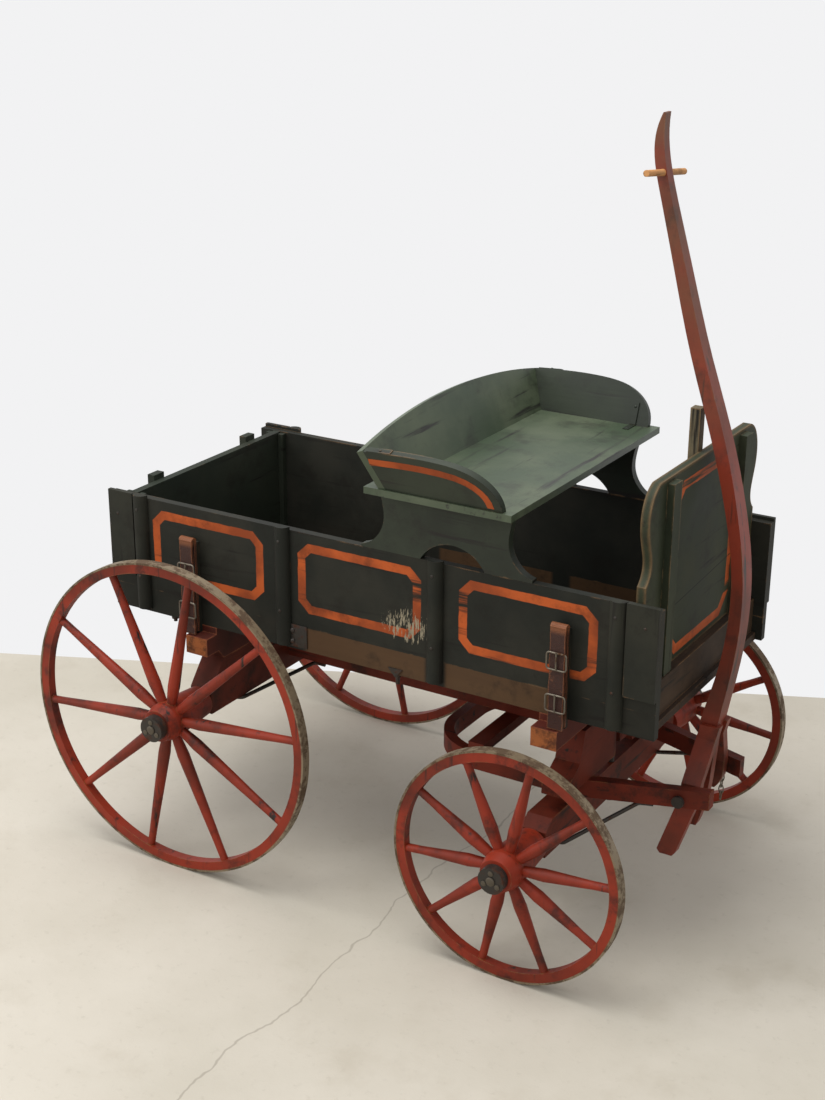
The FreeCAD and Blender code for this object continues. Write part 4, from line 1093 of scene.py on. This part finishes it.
@dataclass
class Studio:
    """The floor, the light and the camera."""

    eye: Point = (1.5775 + AXLE_LINE, -2.195, 1.4536)
    azimuth: float = math.radians(31.18)
    elevation: float = math.radians(21.582)
    roll: float = math.radians(0.278)
    lens: float = 57.736
    rise: float = 0.0239
    wall_foot: Point = (-0.8118 + AXLE_LINE, 0.1509, 0)
    wall_along: Point = (0.91043, 0.41367, 0)
    floor_back: float = 8
    floor_ahead: float = 9
    daylight: float = 0.62
    lamps: tuple[tuple[str, Point, float, float], ...] = (
        ("overhead", (-0.4, -0.6, 3.2), 2.0, 72), ("fill", (-2.2, -2.8, 2.0), 1.6, 34))

    def floor(self) -> None:
        """A pale floor whose far edge is the foot of the wall."""
        along = Vector(self.wall_along)
        near = Vector((along.y, -along.x, 0)) * self.floor_ahead
        left = Vector(self.wall_foot) - along * self.floor_back
        right = Vector(self.wall_foot) + along * self.floor_ahead
        shape = bmesh.new()
        spots = [left, right, right + near, left + near]
        shape.faces.new([shape.verts.new(spot) for spot in spots])
        floor = place("floor", shape, Ground().material())
        if floor.data.polygons[0].normal.z < 0:
            floor.data.flip_normals()

    def world(self) -> None:
        """White to the eye and in reflections, soft grey as light."""
        world = bpy.data.worlds.new("studio")
        world.use_nodes = True
        bpy.context.scene.world = world
        nodes, links = world.node_tree.nodes, world.node_tree.links
        ground = nodes["Background"]
        ground.inputs["Color"].default_value = (1.0, 1.0, 1.0, 1.0)
        ground.inputs["Strength"].default_value = self.daylight
        seen = nodes.new("ShaderNodeBackground")
        seen.inputs["Color"].default_value = tint(242, 242, 243)
        path = nodes.new("ShaderNodeLightPath")
        shown = nodes.new("ShaderNodeMath")
        shown.operation = "MAXIMUM"
        links.new(path.outputs["Is Camera Ray"], shown.inputs[0])
        links.new(path.outputs["Is Glossy Ray"], shown.inputs[1])
        both = nodes.new("ShaderNodeMixShader")
        links.new(shown.outputs[0], both.inputs[0])
        links.new(ground.outputs[0], both.inputs[1])
        links.new(seen.outputs[0], both.inputs[2])
        links.new(both.outputs[0], nodes["World Output"].inputs["Surface"])

    def lamp(self, name: str, where: Point, size: float, power: float) -> None:
        """A square soft light that points at the wagon's middle."""
        data = bpy.data.lights.new(name, "AREA")
        data.shape = "SQUARE"
        data.size = size
        data.energy = power
        lamp = linked(name, data)
        spot = Vector(where)
        aim = (Vector((0, 0, 0.4)) - spot).to_track_quat("-Z", "Y").to_matrix().to_4x4()
        lamp.matrix_world = Matrix.Translation(spot) @ aim

    def camera(self) -> None:
        """The camera, from its turn about the wagon, its tilt and its roll."""
        turn, tilt = self.azimuth, self.elevation
        back = Vector((math.sin(turn) * math.cos(tilt), -math.cos(turn) * math.cos(tilt),
                       math.sin(tilt)))
        right = Vector((math.cos(turn), math.sin(turn), 0))
        up = back.cross(right)
        level = right * math.cos(self.roll) + up * math.sin(self.roll)
        upright = up * math.cos(self.roll) - right * math.sin(self.roll)
        data = bpy.data.cameras.new("view")
        data.lens = self.lens
        data.sensor_width = 36.0
        data.shift_y = self.rise
        camera = linked("view", data)
        axes = Matrix((level, upright, back)).transposed().to_4x4()
        camera.matrix_world = Matrix.Translation(Vector(self.eye)) @ axes
        bpy.context.scene.camera = camera

    def build(self) -> None:
        """Set the stage."""
        self.floor()
        self.world()
        for lamp in self.lamps:
            self.lamp(*lamp)
        self.camera()
        bpy.context.scene.view_settings.view_transform = "Standard"


def main() -> None:
    """Build the wagon's looks in order."""
    logging.basicConfig(level=logging.INFO, format="%(name)s: %(message)s")
    finishes, heads = Finishes(), Heads()
    Body(finishes, heads).build()
    Seat(finishes, heads).build()
    Straps(finishes).build()
    Wheels(finishes).build()
    Gear(finishes).build()
    Studio().build()


if __name__ == "__main__":
    main()
